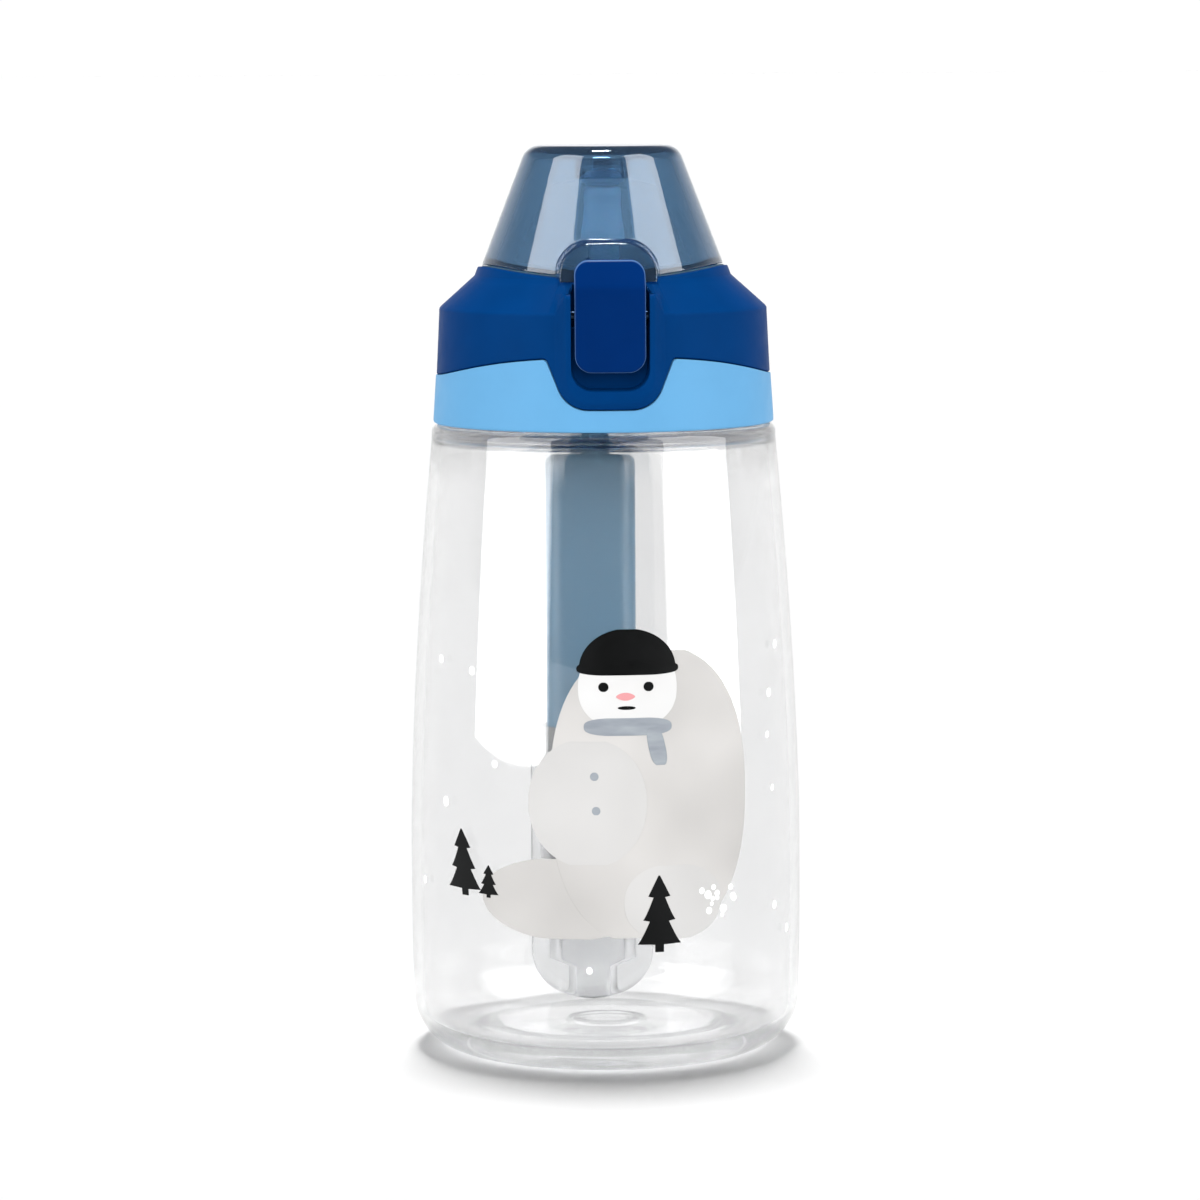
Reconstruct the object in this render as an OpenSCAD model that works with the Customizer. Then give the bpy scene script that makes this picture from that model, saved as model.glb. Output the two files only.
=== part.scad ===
// Clear drinking bottle with a screw lid, a hinged dome cap over an upright
// mouthpiece, a rocker button that frees the dome, and a wide flat straw.
// Origin: centre of the ring the bottle stands on. +Z up, button towards -Y.

/* [Bottle body] */
// Widest outside radius of the body
body_r = 37.5; // [37:0.1:38.5]
// Height up to which the body keeps its widest radius
wide_z = 40; // [34:1:46]
// Outside radius where the shoulder starts to turn in
shoulder_r = 33; // [32.6:0.1:33.4]
// Height where the shoulder starts to turn in
shoulder_z = 117; // [116.8:0.1:117.2]
// Thickness of the body wall
body_wall = 2; // [1.6:0.1:2.4]
// Outside radius of the ring the bottle stands on
foot_r = 27; // [25:0.5:28]
// Radius of the rounded edge between base and wall
foot_round = 10; // [8:0.5:11]
// Height of the inside floor
floor_z = 4; // [3.5:0.1:6]

/* [Neck and thread] */
// Inside radius of the neck
neck_bore_r = 22.5; // [21.5:0.1:22.5]
// Thickness of the neck wall
neck_wall = 1.7; // [1.4:0.1:1.7]
// Height of the neck's rim
neck_top_z = 136; // [135.6:0.1:136]
// How far a thread stands out of its wall
thread_depth = 0.9; // [0.6:0.1:1]
// Number of separate thread starts
thread_starts = 3; // [2:1:4]

/* [Lid] */
// Outside radius of the pale band at its lower edge
collar_r = 32.5; // [32.4:0.05:32.8]
// Height of the pale band's lower edge
collar_z = 120.4; // [120.4:0.1:121]
// Outside radius of the dark cover at its lower edge
cover_r = 31.9; // [31.8:0.05:32.1]
// Height of the cover's edge where the chamfer starts
cover_edge_z = 143.6; // [143.2:0.1:144]
// Highest point of the cover's arched top
deck_top_z = 150.2; // [149.8:0.1:150.4]
// Height of the sunk deck inside the dome
recess_z = 146; // [145.6:0.1:146.2]

/* [Dome cap] */
// Outside radius of the dome near its rim
dome_r = 23.5; // [23.2:0.1:23.8]
// Inward lean of the dome's wall, in mm per mm of height
dome_lean = 0.385; // [0.36:0.005:0.4]
// Height of the dome's flat top
dome_top_z = 172.9; // [171.5:0.1:174]
// Thickness of the dome's wall
dome_wall = 2.3; // [1.8:0.1:2.5]
// Radius of the rounded edge of the dome's top
dome_round = 3.6; // [3:0.1:4]
// Half width of the raised arch over the button
arch_half_w = 9.65; // [9.5:0.05:9.8]
// Height of the raised arch
arch_top_z = 155.7; // [155:0.1:156.5]

/* [Button] */
// Width of the button
button_w = 13.2; // [12.6:0.1:13.4]
// Height of the button's lower edge
button_low_z = 131.5; // [131:0.1:132]
// Height of the crease above which the button leans back
button_crease_z = 147.3; // [147:0.1:148]
// Height of the button's upper edge
button_top_z = 152.3; // [151.5:0.1:152.5]

/* [Straw] */
// Sideways place of the straw
straw_x = -2.6; // [-3:0.1:-2]
// Width of the flat straw
straw_w = 17.2; // [15:0.1:18]
// Width of the clear foot on the straw
foot_w = 23.5; // [22:0.1:25]
// Height of the straw's rounded shoulders
straw_top_z = 115.8; // [110:0.1:116]

/* [Hidden] */
$fn = 96;
eps = 0.01;
far = 60;

// bottle
taper_power = 1.61;
taper = (body_r - shoulder_r) / pow(shoulder_z - wide_z, taper_power);
shoulder_top_z = 120.1;
foot_flat = 2;
kick_z = 1.6;
gate_r = 5;
gate_ring_r = 7.25;
inner_round = 8;

// neck and thread
neck_r = neck_bore_r + neck_wall;
thread_tip_r = neck_r + thread_depth;
thread_run = 0.3;
cap_tip_r = thread_tip_r + thread_run;
cap_bore_r = cap_tip_r + thread_depth;
cap_r = cap_bore_r + 1;
thread_arc = 20;
thread_steps = 5;
thread_rise = 0.8;
thread_slope = 5;

// lid
gasket_h = 1.2;
cap_under_z = neck_top_z + gasket_h;
cap_top_z = cap_under_z + 2;
cap_skirt_z = 121;
cover_in_r = 29.9;
band_in_r = 30.7;
cover_edge_r = 30.7;
plateau_gap = 0.5;
deck_top_y = -6;
deck_round = 80;
deck_low_z = 143.6;
recess_r = 20.5;
seal_r = 23;
seal_in_r = 22.3;
seam_side_z = 129.4;
seam_rise = 4.8;
seam_power = 3;

// housing round the button
house_half_w = 9.65;
house_low_z = 124.6;
house_round = 6.5;
house_r = 33.1;
pocket_half_w = button_w / 2 + 0.45;
pocket_low_z = 128.4;
pocket_y = -28.5;
pocket_deep_y = -26.4;
pocket_step_z = 139.8;
house_wall = 1.1;

// dome
rim_gap = 0.3;
boss_r = 5.15;
boss_bore_r = 4;
boss_low_z = 166.4;
dome_base_z = 149;
arch_round = 6.5;
arch_foot_y = -27.4;
arch_foot_z = 145;
arch_head_y = -22.9;
arch_clear_y = -26.4;

// hinge at the back
hinge_y = 28.3;
hinge_z = 147.4;
hinge_barrel_r = 2.7;
hinge_pin_r = 1.2;
hinge_pin_run = 0.05;
tab_half_w = 4.3;
ear_gap = 0.3;
ear_w = 2.8;
spring_slot_half_w = 1.9;
ear_out_x = tab_half_w + ear_gap + ear_w;

// button
button_face_y = -33;
button_top_y = -29.4;
button_t = 2;
button_pivot_y = -29;
button_pivot_z = 142;
lug_r = 1.9;
button_pin_r = 0.9;
lug_w = 2.4;
lug_x = 3.6;

// mouthpiece and straw
nozzle_r = 3;
nozzle_bore_r = 2;
nozzle_top_z = 150;
spout_r = 4.2;
spout_tip_r = 3.35;
spout_top_z = 164.8;
socket_r = 6.2;
socket_bore_r = 5;
socket_low_z = 128;
straw_neck_r = 3.8;
straw_neck_top_z = 136;
straw_t = 8.4;
straw_low_z = 32;
foot_t = 10.2;
foot_top_z = 62;
foot_low_z = 9.5;
vent_x = 13;
vent_y = 4;

// outside radius of the body's wall at height z
function wall_r(z) = body_r - taper * pow(max(0, z - wide_z), taper_power);
// outside radius of the dome's wall at height z
function dome_at(z) = dome_r - dome_lean * (z - dome_base_z);
// height of the seam between band and cover at sideways place x
function seam_z(x) =
  seam_side_z + seam_rise * (1 - pow(min(abs(x), collar_r) / collar_r, seam_power));
// points on an arc about c, from angle a to angle b
function arc(c, r, a, b, steps) =
  [for (i = [0 : steps]) let (t = a + (b - a) * i / steps) c + r * [cos(t), sin(t)]];

// everything above the arched top of the cover, raised by a gap
module above_arch(gap) {
  difference() {
    translate([-far, -far, 2 * far]) cube([2 * far, 2 * far, far]);
    bar_x(deck_top_y, deck_top_z + gap - deck_round, deck_round, -2 * far, 2 * far);
  }
}

// a ring or disc between two radii and two heights
module ring(r_out, r_in, z0, z1) {
  translate([0, 0, z0]) difference() {
    cylinder(r = r_out, h = z1 - z0);
    if (r_in > 0) translate([0, 0, -1]) cylinder(r = r_in, h = z1 - z0 + 2);
  }
}

// a front outline (x, z) pushed along Y from y0 to y1
module along_y(y0, y1) {
  translate([0, y1, 0]) rotate([90, 0, 0]) linear_extrude(y1 - y0) children();
}

// a side outline (y, z) pushed along X from x0 to x1
module along_x(x0, x1) {
  translate([x0, 0, 0]) rotate([90, 0, 90]) linear_extrude(x1 - x0) children();
}

// a round bar along X at side place (y, z)
module bar_x(y, z, r, x0, x1) {
  translate([x0, y, z]) rotate([0, 90, 0]) cylinder(r = r, h = x1 - x0);
}

// a rectangle with round corners: lower corners r0, upper corners r1
module round_rect(half_w, z0, z1, r0, r1) {
  translate([-half_w, z0 + r0]) square([2 * half_w, z1 - z0 - r0 - r1]);
  translate([-half_w + r0, z0]) square([2 * (half_w - r0), r0 + eps]);
  translate([-half_w + r1, z1 - r1 - eps]) square([2 * (half_w - r1), r1 + eps]);
  for (s = [-1, 1]) {
    translate([s * (half_w - r0), z0 + r0]) circle(r = r0);
    translate([s * (half_w - r1), z1 - r1]) circle(r = r1);
  }
}

// a flat oval of width w and thickness t
module flat_oval(w, t) {
  square([w - t, t], center = true);
  for (s = [-1, 1]) translate([s * (w - t) / 2, 0]) circle(d = t);
}

// one thread start: short arcs, each a little higher than the last
module thread_start(r_root, r_tip) {
  half_root = 0.8;
  half_tip = 0.35;
  for (i = [0 : thread_steps - 1])
    rotate([0, 0, i * (thread_arc - 1)]) translate([0, 0, i * thread_rise])
      rotate([thread_slope, 0, 0]) rotate([0, 0, -thread_arc / 2])
        rotate_extrude(angle = thread_arc)
          polygon([[r_root, -half_root], [r_tip, -half_tip], [r_tip, half_tip], [r_root, half_root]]);
}

module threads(r_root, r_tip, z) {
  for (s = [0 : thread_starts - 1])
    rotate([0, 0, s * 360 / thread_starts]) translate([0, 0, z]) thread_start(r_root, r_tip);
}

// the cover's side of the seam, seen from the front
module seam_front() {
  steps = 13;
  peak_r = 1.7;
  corner_x = house_half_w + peak_r;
  corner_z = seam_z(corner_x) - peak_r;
  left = [for (i = [0 : steps]) let (x = -collar_r + (collar_r - corner_x) * i / steps) [x, seam_z(x)]];
  right = [for (i = [steps : -1 : 0]) [-left[i].x, left[i].y]];
  polygon(concat([[-far, seam_side_z]], left, right, [[far, seam_side_z], [far, 4 * far], [-far, 4 * far]]));
  house_outline(seam_side_z + seam_rise + 4);
  // the band's corners beside the tongue are rounded
  for (s = [-1, 1]) difference() {
    translate([s * (house_half_w + peak_r / 2), corner_z + peak_r / 2 + 0.2])
      square([peak_r + 2 * eps, peak_r + 0.4], center = true);
    translate([s * corner_x, corner_z]) circle(r = peak_r);
  }
}

// the tongue of the cover that holds the button, from its round end up to z1
module house_outline(z1) {
  flat = house_half_w - house_round;
  translate([-house_half_w, house_low_z + house_round])
    square([2 * house_half_w, z1 - house_low_z - house_round]);
  translate([-flat, house_low_z]) square([2 * flat, house_round + eps]);
  for (s = [-1, 1]) translate([s * flat, house_low_z + house_round]) circle(r = house_round);
}

// the space above the seam, all the way round
module seam_space() {
  along_y(-far, 0) seam_front();
  translate([-far, -eps, seam_side_z]) cube([2 * far, far, far]);
}

// the button's recess
module pocket() {
  along_y(-far, pocket_y) round_rect(pocket_half_w, pocket_low_z, far * 3, 3.8, 1);
  along_y(-far, pocket_deep_y)
    translate([-pocket_half_w, pocket_step_z]) square([2 * pocket_half_w, far]);
}

module bottle_body() color([0.93, 0.95, 0.97, 0.35]) {
  wall_steps = 9;
  outer = concat(
    arc([foot_r, foot_round], foot_round, -90, 0, 7),
    [[body_r - 0.25, 17], [body_r, 27]],
    [for (i = [0 : wall_steps]) let (z = wide_z + (shoulder_z - wide_z) * i / wall_steps) [wall_r(z), z]],
    arc([shoulder_r - 3.1, shoulder_z], 3.1, 15, 90, 4));
  inner_top_z = shoulder_top_z - body_wall;
  inner = concat(
    [[neck_bore_r, neck_top_z], [neck_bore_r, inner_top_z]],
    arc([shoulder_r - 3.1 - body_wall, shoulder_z - 1.1], 2.2, 90, 10, 4),
    [for (i = [wall_steps - 1 : -1 : 0])
      let (z = wide_z + (shoulder_z - wide_z) * i / wall_steps) [wall_r(z) - body_wall, z]],
    [[body_r - body_wall, 27], [body_r - body_wall - 0.25, 17]],
    arc([foot_r, floor_z + inner_round], inner_round, 0, -90, 6),
    [[0, floor_z + 1]]);
  base = [
    [0, kick_z - 0.6], [gate_r, kick_z - 0.6], [gate_r, kick_z + 0.3],
    [gate_ring_r, kick_z + 0.3], [gate_ring_r + 0.7, kick_z],
    [foot_r - foot_flat - 3, kick_z - 0.3], [foot_r - foot_flat, 0]];
  neck = [[neck_r + 1, shoulder_top_z], [neck_r, shoulder_top_z + 1], [neck_r, neck_top_z]];
  rotate_extrude() polygon(concat(base, outer, neck, inner));
  threads(neck_r - 0.3, thread_tip_r, 126);
  // stop ring under the thread
  ring(thread_tip_r, neck_r - 0.5, shoulder_top_z + 0.8, shoulder_top_z + 1.9);
}

module lid_gasket() color([0.9, 0.92, 0.94]) {
  ring(neck_r + 0.5, neck_bore_r - 0.6, neck_top_z, cap_under_z);
}

module inner_cap() color([0.3, 0.45, 0.66]) {
  difference() {
    union() {
      ring(cap_r, cap_bore_r, cap_skirt_z + 1, cap_under_z);
      ring(cover_in_r - 0.2, 0, cap_under_z, cap_top_z);
      translate([0, 0, cap_top_z - eps]) cylinder(r = nozzle_r, h = nozzle_top_z - cap_top_z);
      translate([straw_x, 0, socket_low_z]) cylinder(r = socket_r, h = cap_under_z - socket_low_z + eps);
    }
    translate([straw_x, 0, socket_low_z - 1]) cylinder(r = socket_bore_r, h = cap_under_z - socket_low_z + 1);
    translate([0, 0, cap_under_z - 1]) cylinder(r = nozzle_bore_r, h = far);
    translate([vent_x, vent_y, cap_under_z - 1]) cylinder(r = 1.6, h = 4);
    // stepped flat at the front, behind the button's recess
    translate([-house_half_w - 0.2, -far, cap_under_z - 1])
      cube([2 * house_half_w + 0.4, far + pocket_y + house_wall + 0.05, 4]);
    translate([-house_half_w - 0.2, -far, pocket_step_z - house_wall - 0.05])
      cube([2 * house_half_w + 0.4, far + pocket_deep_y + house_wall + 0.05, 4]);
  }
  rotate([0, 0, 60]) threads(cap_bore_r + 0.3, cap_tip_r, 124);
}

module lid_cover() color([0.05, 0.2, 0.45]) {
  cover_end_z = 158;
  cone_z = 139.6;
  edge_round = 1.8;
  difference() {
    union() {
      // skirt behind the pale band
      ring(band_in_r, cover_in_r, collar_z + 0.6, seam_side_z + seam_rise + 2);
      // outer shell above the seam
      intersection() {
        difference() {
          rotate_extrude() polygon(concat(
            [[0, collar_z], [cover_r + 0.25, collar_z]],
            arc([cover_edge_r + 0.5 - edge_round, cover_edge_z - 2.2], edge_round, 0, 48, 5),
            [[24.4, 148.3], [24.4, cover_end_z], [0, cover_end_z]]));
          translate([0, 0, collar_z - 1]) cylinder(r = cover_in_r - 0.1, h = cone_z - collar_z + 1);
          translate([0, 0, cone_z - eps]) cylinder(r1 = cover_in_r - 0.1, r2 = 22, h = 5.6);
        }
        seam_space();
      }
      // deck and the lip the dome closes on
      translate([0, 0, deck_low_z])
        cylinder(r1 = dome_at(deck_low_z) + plateau_gap, r2 = dome_at(cover_end_z) + plateau_gap,
          h = cover_end_z - deck_low_z);
      // housing for the button
      intersection() {
        cylinder(r = house_r, h = 300);
        along_y(-far, pocket_y + house_wall) house_outline(160);
      }
      intersection() {
        cylinder(r = house_r, h = 300);
        along_y(-far, pocket_deep_y + house_wall)
          translate([-house_half_w, pocket_step_z - house_wall]) square([2 * house_half_w, 30]);
      }
      // ears of the hinge
      for (s = [-1, 1]) hinge_ear(s);
    }
    // everything over the arched top, but for the ears
    difference() {
      above_arch(0);
      for (s = [-1, 1]) hinge_ear(s);
    }
    // the deck inside the dome is sunk below its lip
    translate([0, 0, recess_z]) cylinder(r = recess_r, h = far);
    pocket();
    // way for the mouthpiece
    cylinder(r = 5, h = 300);
    // vent
    translate([vent_x, vent_y, 140]) cylinder(r = 1.2, h = 20);
    // room for the dome's hinge tab
    bar_x(hinge_y, hinge_z, hinge_barrel_r + 0.4, -tab_half_w - ear_gap, tab_half_w + ear_gap);
    // bores for the two pins
    bar_x(hinge_y, hinge_z, hinge_pin_r, -far, far);
    bar_x(button_pivot_y, button_pivot_z, button_pin_r, -house_half_w + 0.8, house_half_w - 0.8);
    // groove for the seal
    intersection() {
      ring(seal_r, seal_in_r, deck_low_z, cover_end_z);
      above_arch(-0.8);
    }
  }
}

module hinge_ear(s) {
  x0 = s > 0 ? tab_half_w + ear_gap : -ear_out_x;
  difference() {
    along_x(x0, x0 + ear_w) {
      translate([hinge_y, hinge_z]) circle(r = hinge_barrel_r);
      polygon([[hinge_y - hinge_barrel_r, hinge_z], [hinge_y + hinge_barrel_r, hinge_z],
        [hinge_y + hinge_barrel_r, 141.4], [hinge_y - hinge_barrel_r - 2, 141.4],
        [hinge_y - hinge_barrel_r - 1, hinge_z - 1]]);
    }
    // the ear stays behind the dome's wall
    translate([0, 0, deck_low_z]) cylinder(r = dome_at(deck_low_z) - 0.1, h = 10);
  }
}

module collar_band() color([0.46, 0.73, 0.93]) {
  top_z = seam_side_z + seam_rise + 1;
  difference() {
    rotate_extrude() polygon([
      [band_in_r, collar_z], [collar_r - 0.4, collar_z], [collar_r, collar_z + 0.4],
      [cover_r + 0.1, seam_side_z], [cover_r, top_z], [band_in_r, top_z]]);
    seam_space();
  }
}

module mouthpiece() color([0.86, 0.9, 0.94]) {
  tip_round = 1.2;
  rotate_extrude() difference() {
    union() {
      translate([nozzle_r, cap_top_z]) square([3.5, 1.2]);
      polygon([[1, cap_top_z], [spout_r, cap_top_z], [spout_r, 156], [spout_r - 0.35, 158],
        [spout_tip_r, spout_top_z - tip_round], [spout_tip_r - 0.3, spout_top_z - 0.5],
        [spout_tip_r - 0.8, spout_top_z], [1, spout_top_z]]);
    }
    translate([0, cap_top_z - 1]) square([nozzle_r + 0.05, nozzle_top_z - cap_top_z + 1]);
    square([1.7, 300]);
  }
}

module mouthpiece_collar() color([0.12, 0.3, 0.56]) {
  rotate_extrude() polygon([
    [4.35, recess_z - 2], [5, recess_z - 2], [5, recess_z], [7.6, recess_z],
    [7.6, recess_z + 0.8], [6.9, recess_z + 1.5], [4.35, recess_z + 1.5]]);
}

module vent_valve() color([0.85, 0.88, 0.92]) {
  translate([vent_x, vent_y, 0]) {
    ring(3, 0, cap_under_z - 1, cap_under_z);
    ring(1.6, 0, cap_under_z - eps, cap_top_z + eps);
    ring(2.6, 0, cap_top_z, cap_top_z + 0.8);
  }
}

module straw_adapter() color([0.83, 0.88, 0.93]) {
  translate([straw_x, 0, 0]) difference() {
    union() {
      ring(socket_bore_r, 0, socket_low_z - 1.5, cap_under_z);
      ring(socket_r, 0, socket_low_z - 1.5, socket_low_z);
    }
    translate([0, 0, socket_low_z - 2])
      cylinder(r = straw_neck_r + 0.05, h = straw_neck_top_z - socket_low_z + 2);
    cylinder(r = 3, h = 200);
  }
}

module straw_tube() color([0.42, 0.55, 0.63]) {
  corner = 3.2;
  translate([straw_x, 0, 0]) difference() {
    union() {
      intersection() {
        translate([0, 0, straw_low_z]) linear_extrude(straw_top_z - straw_low_z) flat_oval(straw_w, straw_t);
        along_y(-10, 10) round_rect(straw_w / 2, straw_low_z - 6, straw_top_z, 1, corner);
      }
      translate([0, 0, straw_top_z - 2]) cylinder(r = straw_neck_r, h = straw_neck_top_z - straw_top_z + 2);
    }
    translate([0, 0, straw_low_z - 1])
      linear_extrude(straw_top_z - straw_low_z - corner + 1) flat_oval(straw_w - 2, straw_t - 2);
    translate([0, 0, straw_top_z - 5]) cylinder(r = straw_neck_r - 1, h = 40);
  }
}

module straw_foot() color([0.8, 0.85, 0.88]) {
  fit = 0.1;
  translate([straw_x, 0, 0]) difference() {
    intersection() {
      translate([0, 0, foot_low_z]) linear_extrude(foot_top_z - foot_low_z) flat_oval(foot_w, foot_t);
      along_y(-10, 10) round_rect(foot_w / 2, foot_low_z, foot_top_z, 9, 2);
    }
    translate([0, 0, straw_low_z]) linear_extrude(far) flat_oval(straw_w + 2 * fit, straw_t + 2 * fit);
    // flat chamber under the straw's end, and the inlet below it
    translate([0, 0, foot_low_z + 6])
      linear_extrude(straw_low_z - foot_low_z) flat_oval(straw_w - 1, straw_t - 1.6);
    translate([0, 0, foot_low_z - 1]) linear_extrude(far / 4) flat_oval(9, 5);
  }
}

module deck_seal() color([0.16, 0.3, 0.38]) {
  difference() {
    intersection() {
      ring(seal_r, seal_in_r, deck_low_z, 155);
      above_arch(-0.8);
    }
    above_arch(0.15);
  }
}

module flip_cap() color([0.45, 0.6, 0.76, 0.6]) {
  low_z = 140;
  in_top_z = dome_top_z - 2.1;
  round_z = dome_top_z - dome_round;
  in_round = 1.6;
  in_round_z = in_top_z - in_round;
  difference() {
    union() {
      difference() {
        union() {
          rotate_extrude() polygon(concat(
            [[0, low_z], [dome_at(low_z), low_z]],
            arc([dome_at(round_z) - dome_round, round_z], dome_round, 21, 90, 6),
            [[0, dome_top_z]]));
          // raised arch in front, over the button
          intersection() {
            along_y(-far, -16) round_rect(arch_half_w, low_z, arch_top_z, 1, arch_round);
            along_x(-far, far) polygon([
              [arch_foot_y, low_z], [arch_foot_y, arch_foot_z], [arch_head_y, arch_top_z + 0.6],
              [-16, arch_top_z + 0.6], [-16, low_z]]);
          }
        }
        rotate_extrude() polygon(concat(
          [[0, low_z - 1], [dome_at(low_z - 1) - dome_wall, low_z - 1]],
          arc([dome_at(in_round_z) - dome_wall - in_round, in_round_z], in_round, 21, 90, 3),
          [[0, in_top_z]]));
        // room behind the button's top
        along_y(-far, arch_clear_y) round_rect(pocket_half_w, low_z - 2, button_top_z + 0.5, 1, 2.8);
        difference() {
          cylinder(r = far, h = 200);
          above_arch(rim_gap);
        }
      }
      // socket on the ceiling that holds the plug
      ring(boss_r, 0, boss_low_z, in_top_z + eps);
      // tab of the hinge
      hinge_tab();
    }
    translate([0, 0, boss_low_z - 1]) cylinder(r = boss_bore_r, h = 3);
    bar_x(hinge_y, hinge_z, hinge_pin_r + hinge_pin_run, -far, far);
    // slot for the spring
    bar_x(hinge_y, hinge_z, hinge_barrel_r + 0.6, -spring_slot_half_w, spring_slot_half_w);
  }
}

module hinge_tab() {
  difference() {
    along_x(-tab_half_w, tab_half_w) {
      translate([hinge_y, hinge_z]) circle(r = hinge_barrel_r);
      polygon([[hinge_y, hinge_z + hinge_barrel_r], [hinge_y, hinge_z + 0.6],
        [hinge_y - 6.5, hinge_z + 0.6], [hinge_y - 6.5, hinge_z + 4], [hinge_y - 5.2, hinge_z + 4]]);
    }
    translate([0, 0, deck_low_z]) cylinder(r = dome_at(hinge_z + 4) - dome_wall + 1, h = 10);
  }
}

module cap_plug() color([0.88, 0.91, 0.95]) {
  plug_low_z = spout_top_z + 0.3;
  ring(boss_bore_r, 0, plug_low_z + 0.6, boss_low_z + 2);
  ring(boss_bore_r - 0.6, 0, plug_low_z, plug_low_z + 0.6 + eps);
}

module hinge_pin() color([0.75, 0.77, 0.8]) {
  bar_x(hinge_y, hinge_z, hinge_pin_r, -ear_out_x - 0.3, ear_out_x + 0.3);
}

module hinge_spring() color([0.7, 0.72, 0.75]) {
  wire_r = 0.3;
  coil_r = hinge_pin_r + 0.3 + wire_r;
  turns = 4;
  $fn = 24;
  for (i = [0 : turns - 1])
    translate([-1.2 + 0.8 * i, hinge_y, hinge_z]) rotate([0, 90, 0])
      rotate_extrude() translate([coil_r, 0]) circle(r = wire_r);
  // a thin bridge along the turns, and the leg that rests on the cover
  bar_x(hinge_y, hinge_z - coil_r, 0.2, -1.2, 1.2);
  translate([1.2, hinge_y + coil_r, hinge_z - 4.2]) cylinder(r = 0.22, h = 4.2);
}

module button_side() {
  crease_back = button_crease_z + 0.6;
  polygon([
    [button_face_y, button_low_z - 1], [button_face_y, button_crease_z],
    [button_top_y, button_top_z + 0.1], [button_top_y + button_t, button_top_z + 0.1],
    [button_face_y + button_t, crease_back], [button_face_y + button_t, button_low_z - 1]]);
}

module button() color([0.01, 0.18, 0.42]) {
  difference() {
    union() {
      intersection() {
        along_y(-40, -20) round_rect(button_w / 2, button_low_z, button_top_z, 3.2, 2.8);
        along_x(-20, 20) button_side();
      }
      // two lugs on the pin
      for (s = [-1, 1]) {
        x0 = s > 0 ? lug_x : -lug_x - lug_w;
        along_x(x0, x0 + lug_w) {
          translate([button_pivot_y, button_pivot_z]) circle(r = lug_r);
          translate([button_face_y + 1, button_pivot_z - 1.6])
            square([button_pivot_y - button_face_y - 1, 3.2]);
        }
      }
      // nose behind the top edge
      along_x(-3.5, 3.5) polygon([
        [button_top_y + 0.6, 151.9], [button_top_y + 2.6, 151.5],
        [button_top_y + 2.6, 150.6], [button_top_y - 0.4, 149.8]]);
    }
    bar_x(button_pivot_y, button_pivot_z, button_pin_r + 0.05, -far, far);
  }
}

module button_pin() color([0.75, 0.77, 0.8]) {
  bar_x(button_pivot_y, button_pivot_z, button_pin_r, -house_half_w + 0.8, house_half_w - 0.8);
}

module button_spring() color([0.7, 0.72, 0.75]) {
  leaf_half_w = 2.2;
  // a bent leaf: foot flat on the recess floor, tip just behind the button
  along_x(-leaf_half_w, leaf_half_w) polygon([
    [pocket_y, 138.6], [pocket_y - 0.3, 138.6], [pocket_y - 0.3, 135.8], [pocket_y - 1.5, 133.6],
    [pocket_y - 1.2, 133.4], [pocket_y, 135.6]]);
}

bottle_body();
lid_gasket();
inner_cap();
lid_cover();
collar_band();
mouthpiece();
mouthpiece_collar();
vent_valve();
straw_adapter();
straw_tube();
straw_foot();
deck_seal();
flip_cap();
cap_plug();
hinge_pin();
hinge_spring();
button();
button_pin();
button_spring();
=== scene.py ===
"""Looks of the clear flip-top drinking bottle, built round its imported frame.
Lengths are in millimetres and turned into metres when a mesh is made.
Angle "turn" is 0 at the front (-Y) and grows towards +X."""
import math
import random

import bpy
import bmesh
import numpy as np
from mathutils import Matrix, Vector


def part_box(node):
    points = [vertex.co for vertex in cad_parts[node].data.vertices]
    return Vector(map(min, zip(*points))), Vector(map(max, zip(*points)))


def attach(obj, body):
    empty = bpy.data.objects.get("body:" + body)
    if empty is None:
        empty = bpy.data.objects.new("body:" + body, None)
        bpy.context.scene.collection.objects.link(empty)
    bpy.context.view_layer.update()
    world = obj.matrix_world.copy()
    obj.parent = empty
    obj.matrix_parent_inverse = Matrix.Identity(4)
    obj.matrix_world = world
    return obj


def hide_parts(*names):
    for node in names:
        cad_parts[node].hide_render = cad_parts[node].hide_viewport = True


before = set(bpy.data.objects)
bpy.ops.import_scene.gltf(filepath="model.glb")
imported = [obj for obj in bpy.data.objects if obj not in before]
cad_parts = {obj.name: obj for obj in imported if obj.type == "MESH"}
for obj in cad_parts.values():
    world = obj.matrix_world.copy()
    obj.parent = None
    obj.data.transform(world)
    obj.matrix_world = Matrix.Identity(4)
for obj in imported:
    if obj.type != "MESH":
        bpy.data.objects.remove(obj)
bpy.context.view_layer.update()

MM = 0.001


def node_box(name):
    """Lowest and highest corner of a CAD node, in mm."""
    low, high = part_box(name)
    return np.array(low) / MM, np.array(high) / MM


# -------- sizes (mm)
SKIN = 0.12  # the clear body stays this far inside the CAD body, for the print
BODY_R = node_box("bottle_body")[1][0] - SKIN
WIDE_Z = 40.0
LEAN_Z = 27.0
SHOULDER_R = 33.0 - SKIN
SHOULDER_Z = 117.0
SHOULDER_TOP = 120.1
BODY_WALL = 2.0
FOOT_R = 27.0
FOOT_ROUND = 10.0
FLOOR_Z = 4.0
TAPER_POWER = 1.61
NECK_TOP = node_box("bottle_body")[1][2]
NECK_BORE = 22.5
NECK_R = 24.2
THREAD_DEPTH = 0.85
WALL_MIDDLE = 62.0
WALL_PLAIN = 47.0  # the wall is plain this far from its middle, then come heel and shoulder
WALL_END = 57.0

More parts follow.
